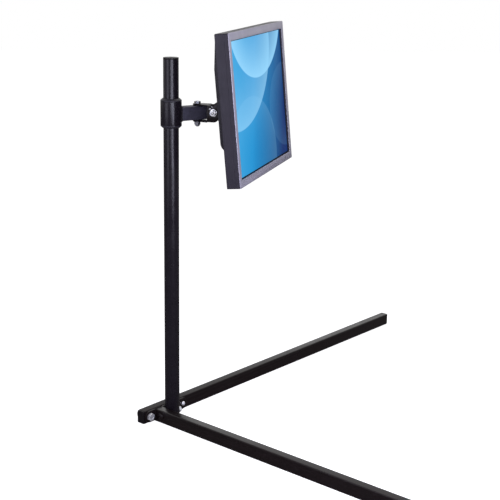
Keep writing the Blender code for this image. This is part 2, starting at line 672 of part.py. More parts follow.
def build_swivel_bracket(swivel):
    """Strap folded round the arm's end, with two lugs for the tilt bolt and their stop pins."""
    inner_low, inner_high, low, high = strap_heights()
    half = STRAP_WIDTH / 2
    web = WEB_REACH - STRAP
    back = -STRAP_END - OVERCUT
    wide = half + OVERCUT

    bend = rounded_rectangle((back, low), (WEB_REACH, high), STRAP_BEND)
    profile = stretched_outline([(back, low), (back, high)] + bend)
    folded = plate([profile], -wide, wide, UPRIGHT_XZ)
    bracket = part("swivel_bracket", folded, "black_paint", swivel)
    inner_bend = max(STRAP_BEND - STRAP, GAP)
    hollow = rounded_rectangle((back - OVERCUT, inner_low), (web, inner_high), inner_bend)
    apply_tool(bracket, plate([hollow], -wide - OVERCUT, wide + OVERCUT, UPRIGHT_XZ), "DIFFERENCE")

    lug_root = WEB_REACH - STRAP / 2
    lug_low, lug_high = low + LUG_INSET, high - LUG_INSET
    rounded = rounded_rectangle((lug_root, lug_low), (TILT_REACH + LUG_END, lug_high), LUG_CORNER)
    lug = stretched_outline(rounded + [(lug_root, lug_low), (lug_root, lug_high)])
    for side in (-1, 1):
        faces = sorted((side * (half - STRAP), side * (wide + OVERCUT)))
        apply_tool(bracket, plate([lug], *faces, UPRIGHT_XZ), "UNION")
    past = TILT_REACH + LUG_END + OVERCUT
    corners = [(web, -half), (web, half), (past, -half), (past, half)]
    plan = stretched_outline(circle((0, 0), STRAP_END) + corners)
    apply_tool(bracket, plate([plan], low - OVERCUT, high + OVERCUT), "INTERSECT")

    pin_angle = math.radians(STOP_ANGLE)
    pin_x = TILT_REACH + STOP_PATH * math.cos(pin_angle)
    pin_z = TILT_HEIGHT + STOP_PATH * math.sin(pin_angle)
    pin_end = ear_inner() + EAR - GAP
    for side in (-1, 1):
        pin_start = (pin_x, side * (half - STRAP / 2), pin_z)
        apply_tool(bracket, rod(STOP_PIN, pin_start, (pin_x, side * pin_end, pin_z), SMALL), "UNION")
    tilt_start = (TILT_REACH, -half - OVERCUT, TILT_HEIGHT)
    tilt_end = (TILT_REACH, half + OVERCUT, TILT_HEIGHT)
    tilt_hole = rod(M8["shank"] + RUNNING_FIT, tilt_start, tilt_end)
    pivot_hole = rod(M8["shank"] + GAP, (0, 0, low - OVERCUT), (0, 0, high + OVERCUT))
    apply_tool(bracket, merged([tilt_hole, pivot_hole]), "DIFFERENCE")


def build_swivel_fasteners(swivel):
    """Vertical bolt with its nut, washer and glides, and the discs and spacer on the tilt bolt."""
    inner_low, inner_high, low, high = strap_heights()
    bore = M8["shank"] + GAP
    washer_bottom = low - GAP - M8["sheet"]
    nut_seat = washer_bottom - GAP
    bolt_top = high + GAP + M8["head"]
    bolt_tip = nut_seat - M8["nut"] - THREAD_PAST_NUT
    hex_bolt("pivot_bolt", M8, bolt_top, bolt_tip, (0, 0, 1), (0, 0, 0), swivel)
    hex_nut("pivot_nut", M8, -nut_seat, (0, 0, -1), (0, 0, 0), swivel)
    part("lower_washer", ring(M8["washer"], bore, washer_bottom, low - GAP, 24), "zinc", swivel)
    play = GAP / 2
    glide = GLIDE_DIAMETER / 2
    for name, start in (("lower_glide", inner_low + play), ("upper_glide", inner_high - play - GLIDE)):
        part(name, ring(glide, bore, start, start + GLIDE), "nylon", swivel)

    across = Matrix.Translation((TILT_REACH, 0, TILT_HEIGHT)) @ UPRIGHT_XZ
    pin_angle = math.radians(STOP_ANGLE)
    pin = (STOP_PATH * math.cos(pin_angle), STOP_PATH * math.sin(pin_angle))
    pin_hole = circle(pin, STOP_PIN + GAP, SMALL)
    outlines = [circle((0, 0), DISC_RADIUS, 48), circle((0, 0), bore), pin_hole]
    disc_low = STRAP_WIDTH / 2 + SIDE_PLAY
    for name, side in (("near_friction_disc", 1), ("far_friction_disc", -1)):
        faces = sorted((side * disc_low, side * (disc_low + DISC)))
        part(name, plate(outlines, *faces, across), "zinc", swivel)
    spacer_end = STRAP_WIDTH / 2 - STRAP - SIDE_PLAY
    fit = M8["shank"] + RUNNING_FIT
    spacer = ring(fit + SLEEVE_WALL, fit, -spacer_end, spacer_end, 24)
    part("tilt_spacer", placed(spacer, across), "sheet_steel", swivel)


def ear_inner():
    """Distance of an ear's inner face from the head's middle plane."""
    return STRAP_WIDTH / 2 + SIDE_PLAY + DISC + SIDE_PLAY


def vesa_places():
    """The four holes of the 100 mm pattern, in the head's Y and Z."""
    half = VESA_PITCH / 2
    return [(y, VESA_LIFT + z) for y in (-half, half) for z in (-half, half)]


def build_yoke(tilt):
    """Folded yoke with two ears, the plate with the 100 mm pattern, and the tilt bolt."""
    plate_high = MONITOR_FRONT - FULL_DEPTH - GAP
    plate_low = plate_high - VESA_THICKNESS
    base_high = plate_low - GAP
    base_low = base_high - EAR
    inner, outer = ear_inner(), ear_inner() + EAR
    back = -EAR_RADIUS - OVERCUT

    fold = [(back, inner), (back, outer), (base_high, outer), (base_high, -outer),
            (back, -outer), (back, -inner), (base_low, -inner), (base_low, inner)]
    folded = plate([fold], -EAR_RADIUS - OVERCUT, YOKE_TOP + OVERCUT)
    yoke = part("tilt_yoke", folded, "black_paint", tilt)
    past = base_high + OVERCUT
    base = [(past, -EAR_RADIUS), (past, YOKE_TOP)]
    side_view = stretched_outline(circle((0, 0), EAR_RADIUS, 48) + base)
    apply_tool(yoke, plate([side_view], -outer - OVERCUT, outer + OVERCUT, UPRIGHT_XZ), "INTERSECT")
    rest_angle = STOP_ANGLE - TILT_BACK
    slot = arc_slot(STOP_PATH, STOP_SLOT / 2, rest_angle - TILT_LIMIT_BACK - STOP_MARGIN,
                    rest_angle + TILT_LIMIT_FORWARD + STOP_MARGIN)
    fit = M8["shank"] + GAP
    bore = rod(fit, (0, -outer - OVERCUT, 0), (0, outer + OVERCUT, 0))
    slots = plate([slot], -outer - OVERCUT, outer + OVERCUT, UPRIGHT_XZ)
    apply_tool(yoke, merged([bore, slots]), "DIFFERENCE")

    half = VESA_SIDE / 2
    square = rounded_rectangle((-half, VESA_LIFT - half), (half, VESA_LIFT + half), VESA_CORNER)
    openings = [circle(place, PAN_M4["shank"] + GAP, SMALL) for place in vesa_places()]
    vesa_plate = plate([square] + openings, plate_low, plate_high, UPRIGHT_YZ)
    part("vesa_plate", vesa_plate, "black_paint", tilt)
    reach = 2 * GAP + VESA_THICKNESS + COVER_WALL + GAP + CHASSIS_SHEET + THREAD_PAST_NUT
    for number, (y, z) in enumerate(vesa_places(), 1):
        at = Matrix.Translation((plate_low - GAP, y, z)) @ Z_TO_X.inverted()
        part("vesa_screw_%d" % number, placed(pan_screw(PAN_M4, reach), at), "zinc", tilt)

    seat = outer + GAP + M8["sheet"] + GAP
    tip = -seat - M8["nut"] - THREAD_PAST_NUT
    hex_bolt("tilt_bolt", M8, seat + M8["head"], tip, (0, 1, 0), (0, 0, 0), tilt)
    hex_nut("tilt_nut", M8, seat, (0, -1, 0), (0, 0, 0), tilt)
    for name, side in (("near_tilt_washer", 1), ("far_tilt_washer", -1)):
        ends = sorted((side * (outer + GAP), side * (outer + GAP + M8["sheet"])))
        part(name, placed(ring(M8["washer"], fit, *ends, 24), UPRIGHT_XZ), "zinc", tilt)


def monitor_slab(back, front, inset=0.0):
    """Block of the monitor's front outline between two depths, drawn in by an inset."""
    half_width, half_height = MONITOR_WIDTH / 2 - inset, MONITOR_HEIGHT / 2 - inset
    low, high = (-half_width, VESA_LIFT - half_height), (half_width, VESA_LIFT + half_height)
    outline = rounded_rectangle(low, high, COVER_CORNER - inset / 2)
    return plate([outline], back, front, UPRIGHT_YZ)


def raised_block(start, inset=0.0):
    """Raised middle of the back, drawn in by an inset: it starts at a depth and runs backwards."""
    bend = (FULL_DEPTH - SIDE_DEPTH) / 4
    low, top = BULGE_STEP + inset, BULGE_TOP - inset
    side_view = [(start, low), (FULL_DEPTH - bend, low + bend / 4),
                 (FULL_DEPTH - bend / 3 - inset, low + bend), (FULL_DEPTH - inset, low + 2 * bend),
                 (FULL_DEPTH - inset, BULGE_FLAT_TOP - inset),
                 (FULL_DEPTH - BULGE_LEAN - inset, top), (start, top)]
    outline = [(MONITOR_FRONT - depth, VESA_LIFT + height) for depth, height in side_view]
    half = BULGE_WIDTH / 2 - inset
    return plate([outline], -half, half, UPRIGHT_XZ)


def cover_screw_places():
    """Where the screws join cover and bezel, in the strip under the backlight tray."""
    drop = MONITOR_HEIGHT / 2 - COVER_WALL - BOSS_RADIUS - GAP
    return [(y, VESA_LIFT - drop) for y in (-BOSS_SPREAD, BOSS_SPREAD)]


def socket_cuts():
    """Openings for the inlet and the video sockets in the raised part's lower wall."""
    x = MONITOR_FRONT - SOCKET_DEPTH
    low = VESA_LIFT + BULGE_STEP - OVERCUT
    high = VESA_LIFT + BULGE_STEP + SOCKET_TOP / 2
    sizes = [(INLET_SIDE, INLET_SIZE)] + [(side, VIDEO_EAR) for side in VIDEO_SIDES]
    cuts = []
    for y, (deep, wide) in sizes:
        half_deep, half_wide = deep / 2 + GAP, wide / 2 + GAP
        corner = (x - half_deep, y - half_wide, low)
        cuts.append(box(corner, (x + half_deep, y + half_wide, high)))
    return cuts


def build_cover(tilt):
    """Rear cover: a shallow tray with a raised middle, open to the front, and its screws."""
    back = MONITOR_FRONT - SIDE_DEPTH
    split = MONITOR_FRONT - BEZEL_DEPTH - GAP
    raised_back = MONITOR_FRONT - FULL_DEPTH
    cover = part("rear_cover", monitor_slab(back, split), "cover_plastic", tilt)
    apply_tool(cover, raised_block(SIDE_DEPTH - COVER_WALL / 2), "UNION")
    apply_tool(cover, monitor_slab(back + COVER_WALL, split + OVERCUT, COVER_WALL), "DIFFERENCE")
    apply_tool(cover, raised_block(SIDE_DEPTH - 2 * COVER_WALL, COVER_WALL), "DIFFERENCE")

    holes = socket_cuts()
    for screw, face, places in ((PAN_M4, raised_back, vesa_places()), (PAN_M3, back, cover_screw_places())):
        for y, z in places:
            past = (face + OVERCUT + COVER_WALL, y, z)
            holes.append(rod(screw["shank"] + GAP, (face - OVERCUT, y, z), past, SMALL))
    apply_tool(cover, merged(holes), "DIFFERENCE")

    reach = SIDE_DEPTH + GAP - BEZEL_FACE - THREAD_PAST_NUT
    for number, (y, z) in enumerate(cover_screw_places(), 1):
        at = Matrix.Translation((back - GAP, y, z)) @ Z_TO_X.inverted()
        part("cover_screw_%d" % number, placed(pan_screw(PAN_M3, reach), at), "zinc", tilt)


def light_place():
    """The status light: in the frame's lower bar, above the power button."""
    return button_places()[-1], VESA_LIFT - (MONITOR_HEIGHT + OPENING_HEIGHT) / 4


def build_bezel(tilt):
    """Front frame with its screw bosses, and the status light in its lower right."""
    back = MONITOR_FRONT - BEZEL_DEPTH
    face = MONITOR_FRONT - BEZEL_FACE
    half_width, half_height = OPENING_WIDTH / 2, OPENING_HEIGHT / 2
    bezel = part("front_bezel", monitor_slab(back, MONITOR_FRONT), "bezel_plastic", tilt)
    opening = box((back - 2 * OVERCUT, -half_width, VESA_LIFT - half_height),
                  (MONITOR_FRONT + OVERCUT, half_width, VESA_LIFT + half_height))
    apply_tool(bezel, opening, "DIFFERENCE")
    apply_tool(bezel, monitor_slab(back - OVERCUT, face, COVER_WALL), "DIFFERENCE")

    boss_back = MONITOR_FRONT - SIDE_DEPTH + COVER_WALL + GAP
    light_y, light_z = light_place()
    light_end = (MONITOR_FRONT + OVERCUT, light_y, light_z)
    holes = [rod(LIGHT_RADIUS + GAP, (face - OVERCUT, light_y, light_z), light_end, SMALL)]
    for y, z in cover_screw_places():
        boss = rod(BOSS_RADIUS, (boss_back, y, z), (face + BEZEL_FACE / 4, y, z), SMALL)
        apply_tool(bezel, boss, "UNION")
        hole_end = (face - THREAD_PAST_NUT / 2, y, z)
        holes.append(rod(PAN_M3["shank"] + GAP, (boss_back - OVERCUT, y, z), hole_end, SMALL))
    for middle in button_places():
        holes.append(button_block(middle, GAP, GAP, -OVERCUT, COVER_WALL + OVERCUT / 4))
    apply_tool(bezel, merged(holes), "DIFFERENCE")
    light_start = (face - LIGHT_RADIUS, light_y, light_z)
    lens = rod(LIGHT_RADIUS, light_start, (MONITOR_FRONT, light_y, light_z), SMALL)
    part("status_light", lens, "clear_plastic", tilt)


def button_places():
    """Middles of the buttons along the lower edge: the menu buttons, then the power button."""
    return [BUTTON_START + BUTTON_PITCH * step for step in range(MENU_BUTTONS + 1)]


def button_block(middle, longer, wider, low, high):
    """Box in a button's place, grown by two margins, with heights from the monitor's lower edge."""
    depth = MONITOR_FRONT - (BEZEL_DEPTH + BEZEL_FACE) / 2
    edge = VESA_LIFT - MONITOR_HEIGHT / 2
    half_length, half_width = BUTTON_LENGTH / 2 + longer, BUTTON_WIDTH / 2 + wider
    corner = (depth - half_width, middle - half_length, edge + low)
    return box(corner, (depth + half_width, middle + half_length, edge + high))


def build_buttons(tilt):
    """Push buttons in the lower edge, each with a lip inside, and the board above them."""
    lip_low = COVER_WALL + SIDE_PLAY
    lip_high = lip_low + BUTTON_LIP
    names = ["menu_button_%d" % (number + 1) for number in range(MENU_BUTTONS)] + ["power_button"]
    places = button_places()
    for name, middle in zip(names, places):
        stem = button_block(middle, 0, 0, -BUTTON_PROUD, lip_high - BUTTON_LIP / 2)
        button = part(name, stem, "cover_plastic", tilt)
        apply_tool(button, button_block(middle, BUTTON_LIP, 2 * GAP, lip_low, lip_high), "UNION")
    board_low = lip_high + BUTTON_TRAVEL + GAP
    board_high = board_low + BOARD_THICKNESS
    middle, longer = (places[0] + places[-1]) / 2, (places[-1] - places[0]) / 2 + 2 * BUTTON_LIP
    board = button_block(middle, longer, GAP, board_low, board_high)
    part("button_board", board, "circuit_board", tilt)


def build_screen(tilt):
    """Screen panel, light guide, light strip and the tray behind them."""
    panel_front = MONITOR_FRONT - BEZEL_FACE - GAP
    panel_back = panel_front - PANEL_THICKNESS
    guide_front = panel_back - GAP
    guide_back = guide_front - GUIDE_THICKNESS
    floor = guide_back - GAP
    half_width, half_height = OPENING_WIDTH / 2 + PANEL_OVERLAP, OPENING_HEIGHT / 2 + PANEL_OVERLAP
    strip_low = VESA_LIFT - half_height

    def block(back, front, grow=0.0, lift=0.0):
        """Box of the panel's outline between two depths, grown all round, with its foot raised."""
        return box((back, -half_width - grow, VESA_LIFT - half_height - grow + lift),
                   (front, half_width + grow, VESA_LIFT + half_height + grow))

    part("screen_panel", block(panel_back, panel_front), "screen", tilt)
    part("light_guide", block(guide_back, guide_front, 0, LED_STRIP + GAP), "clear_plastic", tilt)
    strip = box((guide_back, -half_width, strip_low), (guide_front, half_width, strip_low + LED_STRIP))
    part("light_strip", strip, "circuit_board", tilt)
    tray_block = block(floor - TRAY_SHEET, panel_back - GAP, GAP + TRAY_SHEET)
    tray = part("backlight_tray", tray_block, "sheet_steel", tilt)
    apply_tool(tray, block(floor, panel_back + OVERCUT, GAP), "DIFFERENCE")


def build_boards(tilt):
    """Mounting plate and the two circuit boards inside the raised part of the back."""
    inside = MONITOR_FRONT - FULL_DEPTH + COVER_WALL + GAP
    half = CHASSIS_SIDE / 2
    square = rounded_rectangle((-half, VESA_LIFT - half), (half, VESA_LIFT + half), VESA_CORNER)
    openings = [circle(place, PAN_M4["shank"] + GAP, SMALL) for place in vesa_places()]
    chassis = plate([square] + openings, inside, inside + CHASSIS_SHEET, UPRIGHT_YZ)
    part("mount_chassis", chassis, "sheet_steel", tilt)

    back = MONITOR_FRONT - BOARD_DEPTH
    front = back + BOARD_THICKNESS
    base = VESA_LIFT + BULGE_STEP + BOARD_BASE
    wall = BULGE_WIDTH / 2 - COVER_WALL
    sides = {"power_board": (BOARD_MARGINS["power_board"] - wall, BOARD_INNER_ENDS["power_board"]),
             "logic_board": (BOARD_INNER_ENDS["logic_board"], wall - BOARD_MARGINS["logic_board"])}
    for name, (left, right) in sides.items():
        sheet = box((back, left, base), (front, right, base + BOARD_HEIGHTS[name]))
        board = part(name, sheet, "circuit_board", tilt)
        for block_left, block_low, width, height, depth in BOARD_BLOCKS[name]:
            low = Vector((back - depth, left + block_left, base + block_low))
            high = low + Vector((depth + BOARD_THICKNESS / 2, width, height))
            apply_tool(board, box(low, high), "UNION")


def build_sockets(tilt):
    """Mains inlet with its three pins, and the two video sockets on their common plate."""
    x = MONITOR_FRONT - SOCKET_DEPTH
    mouth = VESA_LIFT + BULGE_STEP
    top = mouth + SOCKET_TOP

    def block(y, size, low, high):
        """Box of a given depth and width about a socket's middle line."""
        return box((x - size[0] / 2, y - size[1] / 2, low), (x + size[0] / 2, y + size[1] / 2, high))

    inlet = part("mains_inlet", block(INLET_SIDE, INLET_SIZE, mouth, top), "black_plastic", tilt)
    hollow = block(INLET_SIDE, INLET_HOLLOW, mouth - OVERCUT, top - INLET_FLOOR)
    apply_tool(inlet, hollow, "DIFFERENCE")
    pin_size = Vector((*INLET_PIN, top - INLET_FLOOR / 2 - mouth - INLET_PIN_DEPTH))
    for across, along in INLET_PIN_PLACES:
        low = Vector((x + across - INLET_PIN[0] / 2, INLET_SIDE + along - INLET_PIN[1] / 2,
                      mouth + INLET_PIN_DEPTH))
        apply_tool(inlet, box(low, low + pin_size), "UNION")

    middle = sum(VIDEO_SIDES) / 2
    bar = (VIDEO_EAR[0] - 2 * GAP, VIDEO_SIDES[1] - VIDEO_SIDES[0] + VIDEO_EAR[1] - 2 * GAP)
    bar_low = top - VIDEO_EAR_RISE
    ear_top = bar_low + VIDEO_EAR_RISE / 4
    sockets = part("video_sockets", block(middle, bar, bar_low, top), "sheet_steel", tilt)
    for side, shell in zip(VIDEO_SIDES, VIDEO_SHELLS):
        apply_tool(sockets, block(side, VIDEO_EAR, mouth + VIDEO_EAR_RISE, ear_top), "UNION")
        apply_tool(sockets, block(side, shell, mouth, mouth + VIDEO_SHELL_LENGTH), "UNION")


def build_stand():
    """All sub-assemblies, each in the frame of the joint that carries it."""
    corner = frame("corner_frame", turn=-45.0)
    arm = frame("arm_axis", turn=ARM_AZIMUTH)
    swivel = frame("swivel_axis", arm, (ARM_REACH, 0, 0), turn=SWIVEL_TURN)
    tilt = frame("tilt_axis", swivel, (TILT_REACH, 0, TILT_HEIGHT), tilt=-TILT_BACK)
    build_legs(corner)
    build_corner_fasteners(corner)
    build_pole(corner)
    build_collar(arm)
    build_arm(arm)
    build_swivel_bracket(swivel)
    build_swivel_fasteners(swivel)
    build_yoke(tilt)
    build_cover(tilt)
    build_bezel(tilt)
    build_buttons(tilt)
    build_screen(tilt)
    build_boards(tilt)
    build_sockets(tilt)


build_stand()
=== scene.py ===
"""Looks of a floor stand that holds one flat monitor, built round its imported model.

Each sub-assembly is a class that holds its sizes in metres and makes its pieces in the frame of
the joint that carries it. Screws, nuts, tubes, weld beads and air slots come from Geometry Nodes.
"""

import json
import logging
import math
from dataclasses import dataclass, field
from enum import Enum
from typing import Any, Callable, Iterable, Optional, Sequence, Union

import bmesh
import bpy
from mathutils import Matrix, Vector


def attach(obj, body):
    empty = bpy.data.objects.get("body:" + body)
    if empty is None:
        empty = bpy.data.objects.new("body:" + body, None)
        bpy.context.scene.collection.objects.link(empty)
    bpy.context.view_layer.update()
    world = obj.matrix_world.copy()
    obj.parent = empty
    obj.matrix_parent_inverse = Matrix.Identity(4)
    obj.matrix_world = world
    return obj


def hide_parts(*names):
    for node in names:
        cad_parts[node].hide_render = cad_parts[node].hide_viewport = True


LOG = logging.getLogger("monitor_stand")
MM = 0.001
SHARP = math.radians(34)

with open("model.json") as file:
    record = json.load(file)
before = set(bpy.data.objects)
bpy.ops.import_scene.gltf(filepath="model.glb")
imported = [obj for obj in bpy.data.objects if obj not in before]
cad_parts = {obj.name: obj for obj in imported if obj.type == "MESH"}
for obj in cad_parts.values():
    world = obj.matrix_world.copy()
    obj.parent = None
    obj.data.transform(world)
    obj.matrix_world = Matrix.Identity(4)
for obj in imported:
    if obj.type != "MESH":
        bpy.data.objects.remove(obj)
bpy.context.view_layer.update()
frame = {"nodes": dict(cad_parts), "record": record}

Mesh = bpy.types.Mesh
Point = tuple[float, float]
Colour = tuple[float, float, float]
Profile = Sequence[tuple[float, float, float]]
Rule = Callable[[Vector], bool]
Value = Union["Link", float, int, bool, Sequence[float], list["Link"], None]


class Body(Enum):
    """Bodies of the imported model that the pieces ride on."""
    STAND = "stand"
    BUSHES = "bushes"
    COLLAR = "collar"
    HEAD = "swivel_head"
    MONITOR = "monitor"


class Recess(Enum):
    """Drive in a round-headed screw."""
    HEX = 6
    CROSS = 4


# Frames of the stand's joints, at rest

def shift(x: float = 0.0, y: float = 0.0, z: float = 0.0) -> Matrix:
    """Frame moved along the axes."""
    return Matrix.Translation((x, y, z))


def spin(degrees: float, axis: str = "Z") -> Matrix:
    """Frame turned about an axis."""
    return Matrix.Rotation(math.radians(degrees), 4, axis)


ARM_TURN, SWIVEL_TURN, TILT_BACK = 28.0, -50.0, 5.45
ARM_REACH, ARM_HEIGHT = 68 * MM, 736.1 * MM
TILT_REACH, TILT_HEIGHT = 45.8 * MM, 739.9 * MM

CORNER = spin(-45)
ARM = spin(ARM_TURN)
SWIVEL = ARM @ shift(ARM_REACH) @ spin(SWIVEL_TURN)
TILT = SWIVEL @ shift(TILT_REACH, 0, TILT_HEIGHT) @ spin(-TILT_BACK, "Y")
Z_TO_X, Z_TO_Y, Z_TO_BACK, FLIP = spin(90, "Y"), spin(-90, "X"), spin(90, "X"), spin(180, "X")


# Nodes

class Link:
    """Output of a node, on which plain arithmetic adds Math nodes."""

    def __init__(self, pad: "NodePad", socket: bpy.types.NodeSocket) -> None:
        """Keep an output with the tree that it is in."""
        self.pad, self.socket = pad, socket

    def __add__(self, other: Value) -> "Link":
        """Sum of both."""
        return self.pad.math("ADD", self, other)

    __radd__ = __add__

    def __sub__(self, other: Value) -> "Link":
        """This one less the other."""
        return self.pad.math("SUBTRACT", self, other)

    def __rsub__(self, other: Value) -> "Link":
        """The other less this one."""
        return self.pad.math("SUBTRACT", other, self)

    def __mul__(self, other: Value) -> "Link":
        """Product of both."""
        return self.pad.math("MULTIPLY", self, other)

    def __truediv__(self, other: Value) -> "Link":
        """This one divided by the other."""
        return self.pad.math("DIVIDE", self, other)


class NodePad:
    """Node tree whose nodes are put down and linked by short calls."""

    def __init__(self, tree: bpy.types.NodeTree) -> None:
        """Take a tree's nodes and links."""
        self.nodes, self.links = tree.nodes, tree.links

    def feed(self, socket: bpy.types.NodeSocket, value: Value) -> None:
        """Link an input to an output, or set it to a constant.

        Args:
            socket: a node's input.
            value: an output, several in a list, or a constant; None leaves the input as it is.
        """
        for each in value if isinstance(value, list) else [value]:
            if isinstance(each, Link):
                self.links.new(each.socket, socket)
            elif each is not None:
                socket.default_value = each

    def put(self, kind: str, inputs: Optional[dict[Any, Value]] = None, family: str = "Shader",
            **settings: Any) -> bpy.types.Node:
        """Add a node.

        Args:
            kind: the node's type, without its family.
            inputs: what its inputs get, by name or number.
            family: Shader, Geometry or Function.
            **settings: the node's own properties.

        Returns:
            The new node.
        """
        node = self.nodes.new(family + "Node" + kind)
        for name, value in settings.items():
            setattr(node, name, value)
        for key, value in (inputs or {}).items():
            self.feed(node.inputs[key], value)
        return node

    def out(self, kind: str, inputs: Optional[dict[Any, Value]] = None, socket: Union[int, str] = 0,
            **settings: Any) -> Link:
        """One output of a new node, which put makes."""
        return Link(self, self.put(kind, inputs, **settings).outputs[socket])

    def math(self, operation: str, *values: Value) -> Link:
        """Result of a Math node."""
        return self.out("Math", dict(enumerate(values)), operation=operation)

    def vector(self, x: Value = 0.0, y: Value = 0.0, z: Value = 0.0) -> Link:
        """Vector from three values."""
        return self.out("CombineXYZ", {0: x, 1: y, 2: z})

    def split(self, vector: Link) -> list[Link]:
        """The three values of a vector."""
        return [Link(self, socket) for socket in self.put("SeparateXYZ", {0: vector}).outputs]

    def span(self, value: Link, low: float, high: float, to_low: float = 0.0, to_high: float = 1.0) -> Link:
        """Value carried from one range to another and held to it."""
        return self.out("MapRange", {0: value, 1: low, 2: high, 3: to_low, 4: to_high})

    def rays(self) -> list[Link]:
        """What kind a ray is.

        Returns:
            Whether it is the camera's own, and whether it left a mirroring or clear surface.
        """
        path = self.put("LightPath")
        own, glossy, clear = [Link(self, path.outputs["Is %s Ray" % kind])
                              for kind in ("Camera", "Glossy", "Transmission")]
        return [own, self.math("MAXIMUM", glossy, clear)]


class ShaderSheet(NodePad):
    """One material's nodes."""

    def __init__(self, name: str) -> None:
        """Start the material.

        Args:
            name: its name.
        """
        self.material = bpy.data.materials.new(name)
        self.material.use_nodes = True
        super().__init__(self.material.node_tree)
        self.shader = self.nodes["Principled BSDF"]

    def mix(self, share: Link, first: Value, second: Value) -> Link:
        """Colour between two others."""
        return self.out("Mix", {0: share, 6: first, 7: second}, 2, data_type="RGBA")

    def place(self) -> Link:
        """The point on the surface, in the stand's own frame."""
        return self.out("TexCoord", socket="Object")

    def noise(self, scale: float, detail: float, stretch: Optional[Colour] = None) -> Link:
        """Smooth noise, in waves per metre, drawn out along an axis if asked."""
        place = self.out("Mapping", {"Vector": self.place(), "Scale": stretch}) if stretch else self.place()
        return self.out("TexNoise", {"Vector": place, "Scale": scale, "Detail": detail}, "Fac")

    def cloud(self, scale: float, detail: float, low: float = 0.0, high: float = 1.0) -> Link:
        """Noise spread between two values."""
        return self.span(self.noise(scale, detail), 0.3, 0.7, low, high)

    def bump(self, height: Link, depth: float, under: Optional[Link] = None) -> Link:
        """Normal of a surface raised by a height, in metres at its full value."""
        return self.out("Bump", {"Height": height, "Distance": depth, "Normal": under})

    def shine(self, **values: Value) -> None:
        """Set the shader's inputs; underscores stand for the spaces in their names."""
        for name, value in values.items():
            self.feed(self.shader.inputs[name.replace("_", " ")], value)


def rgba(colour: Colour, share: float = 1.0) -> tuple[float, ...]:
    """Opaque colour, made lighter or darker by a share."""
    return (*(part * share for part in colour), 1.0)


# Finishes

@dataclass(frozen=True)
class Finish:
    """A surface with its colour, gloss and grain; the fields are what differs between finishes."""
    name: str
    slot: str
    colour: Colour
    metallic: float = 0.0
    roughness: float = 0.5
    specular: float = 0.5
    mottle: float = 0.08
    mottle_scale: float = 45.0
    smudge: float = 0.06
    grain_scale: float = 1500.0
    grain_depth: float = 0.02 * MM

    def material(self) -> bpy.types.Material:
        """The finish's material.

        Returns:
            The material, made at the first call and then found again.
        """
        if self.name not in bpy.data.materials:
            sheet = ShaderSheet(self.name)
            sheet.material.diffuse_color = rgba(self.colour)
            self.dress(sheet)
        return bpy.data.materials[self.name]

    def dress(self, sheet: ShaderSheet) -> None:
        """Put the finish's nodes down: its colour, uneven gloss and relief.

        Args:
            sheet: the material's nodes.
        """
        gloss = sheet.cloud(self.mottle_scale * 0.6, 5.0, self.roughness - self.smudge,
                            self.roughness + self.smudge)
        sheet.shine(Base_Color=self.shade(sheet), Roughness=gloss, Metallic=self.metallic,
                    Specular_IOR_Level=self.specular, Normal=self.relief(sheet))

    def shade(self, sheet: ShaderSheet) -> Link:
        """Colour that varies a little."""
        return sheet.mix(sheet.cloud(self.mottle_scale, 4.0), rgba(self.colour, 1 - self.mottle),
                         rgba(self.colour, 1 + self.mottle))

    def relief(self, sheet: ShaderSheet, under: Optional[Link] = None) -> Link:
        """Fine grain, laid over another relief if there is one."""
        return sheet.bump(sheet.noise(self.grain_scale, 2.0), self.grain_depth, under)


@dataclass(frozen=True)
class PowderCoat(Finish):
    """Powder coat: a shallow orange peel under a fine speckle."""
    peel_scale: float = 260.0
    peel_depth: float = 0.03 * MM

    def relief(self, sheet: ShaderSheet, under: Optional[Link] = None) -> Link:
        """The grain over the peel."""
        return super().relief(sheet, sheet.bump(sheet.noise(self.peel_scale, 1.0), self.peel_depth, under))


@dataclass(frozen=True)
class ZincPlate(Finish):
    """Zinc plate, with the faint blue and straw tints of its passivation."""
    metallic: float = 0.7
    smudge: float = 0.08
    grain_scale: float = 2600.0
    grain_depth: float = 0.01 * MM
    patch_scale: float = 160.0
    tint: Colour = (0.62, 0.68, 0.80)
    straw: Colour = (0.86, 0.80, 0.68)

    def shade(self, sheet: ShaderSheet) -> Link:
        """Patches of both tints: blue where the noise is high, straw where it is low.

        Args:
            sheet: the material's nodes.

        Returns:
            The colour.
        """
        patches = sheet.noise(self.patch_scale, 3.0)
        cool = sheet.mix(sheet.span(patches, 0.55, 0.75), rgba(self.colour), rgba(self.tint))
        return sheet.mix(sheet.span(patches, 0.45, 0.28, 0.0, 0.7), cool, rgba(self.straw))


@dataclass(frozen=True)
class RolledSheet(Finish):
    """Galvanised sheet steel with rolling marks along one way."""
    scratch_scale: float = 500.0
    scratch_depth: float = 0.03 * MM
    crystal_scale: float = 120.0

    def shade(self, sheet: ShaderSheet) -> Link:
        """Pale crystals."""
        spangle = sheet.out("TexVoronoi", {"Vector": sheet.place(), "Scale": self.crystal_scale}, "Color")
        return sheet.mix(sheet.out("RGBToBW", {0: spangle}), rgba(self.colour, 0.8), rgba(self.colour, 1.1))

    def relief(self, sheet: ShaderSheet, under: Optional[Link] = None) -> Link:
        """Long fine scratches."""
        return sheet.bump(sheet.noise(self.scratch_scale, 2.0, (1.0, 0.04, 1.0)), self.scratch_depth, under)


@dataclass(frozen=True)
class ClearAcrylic(Finish):
    """Clear moulded plastic."""
    clarity: float = 0.85
    index: float = 1.49

    def dress(self, sheet: ShaderSheet) -> None:
        """The plain finish, seen through."""
        super().dress(sheet)
        sheet.shine(Transmission_Weight=self.clarity, IOR=self.index)


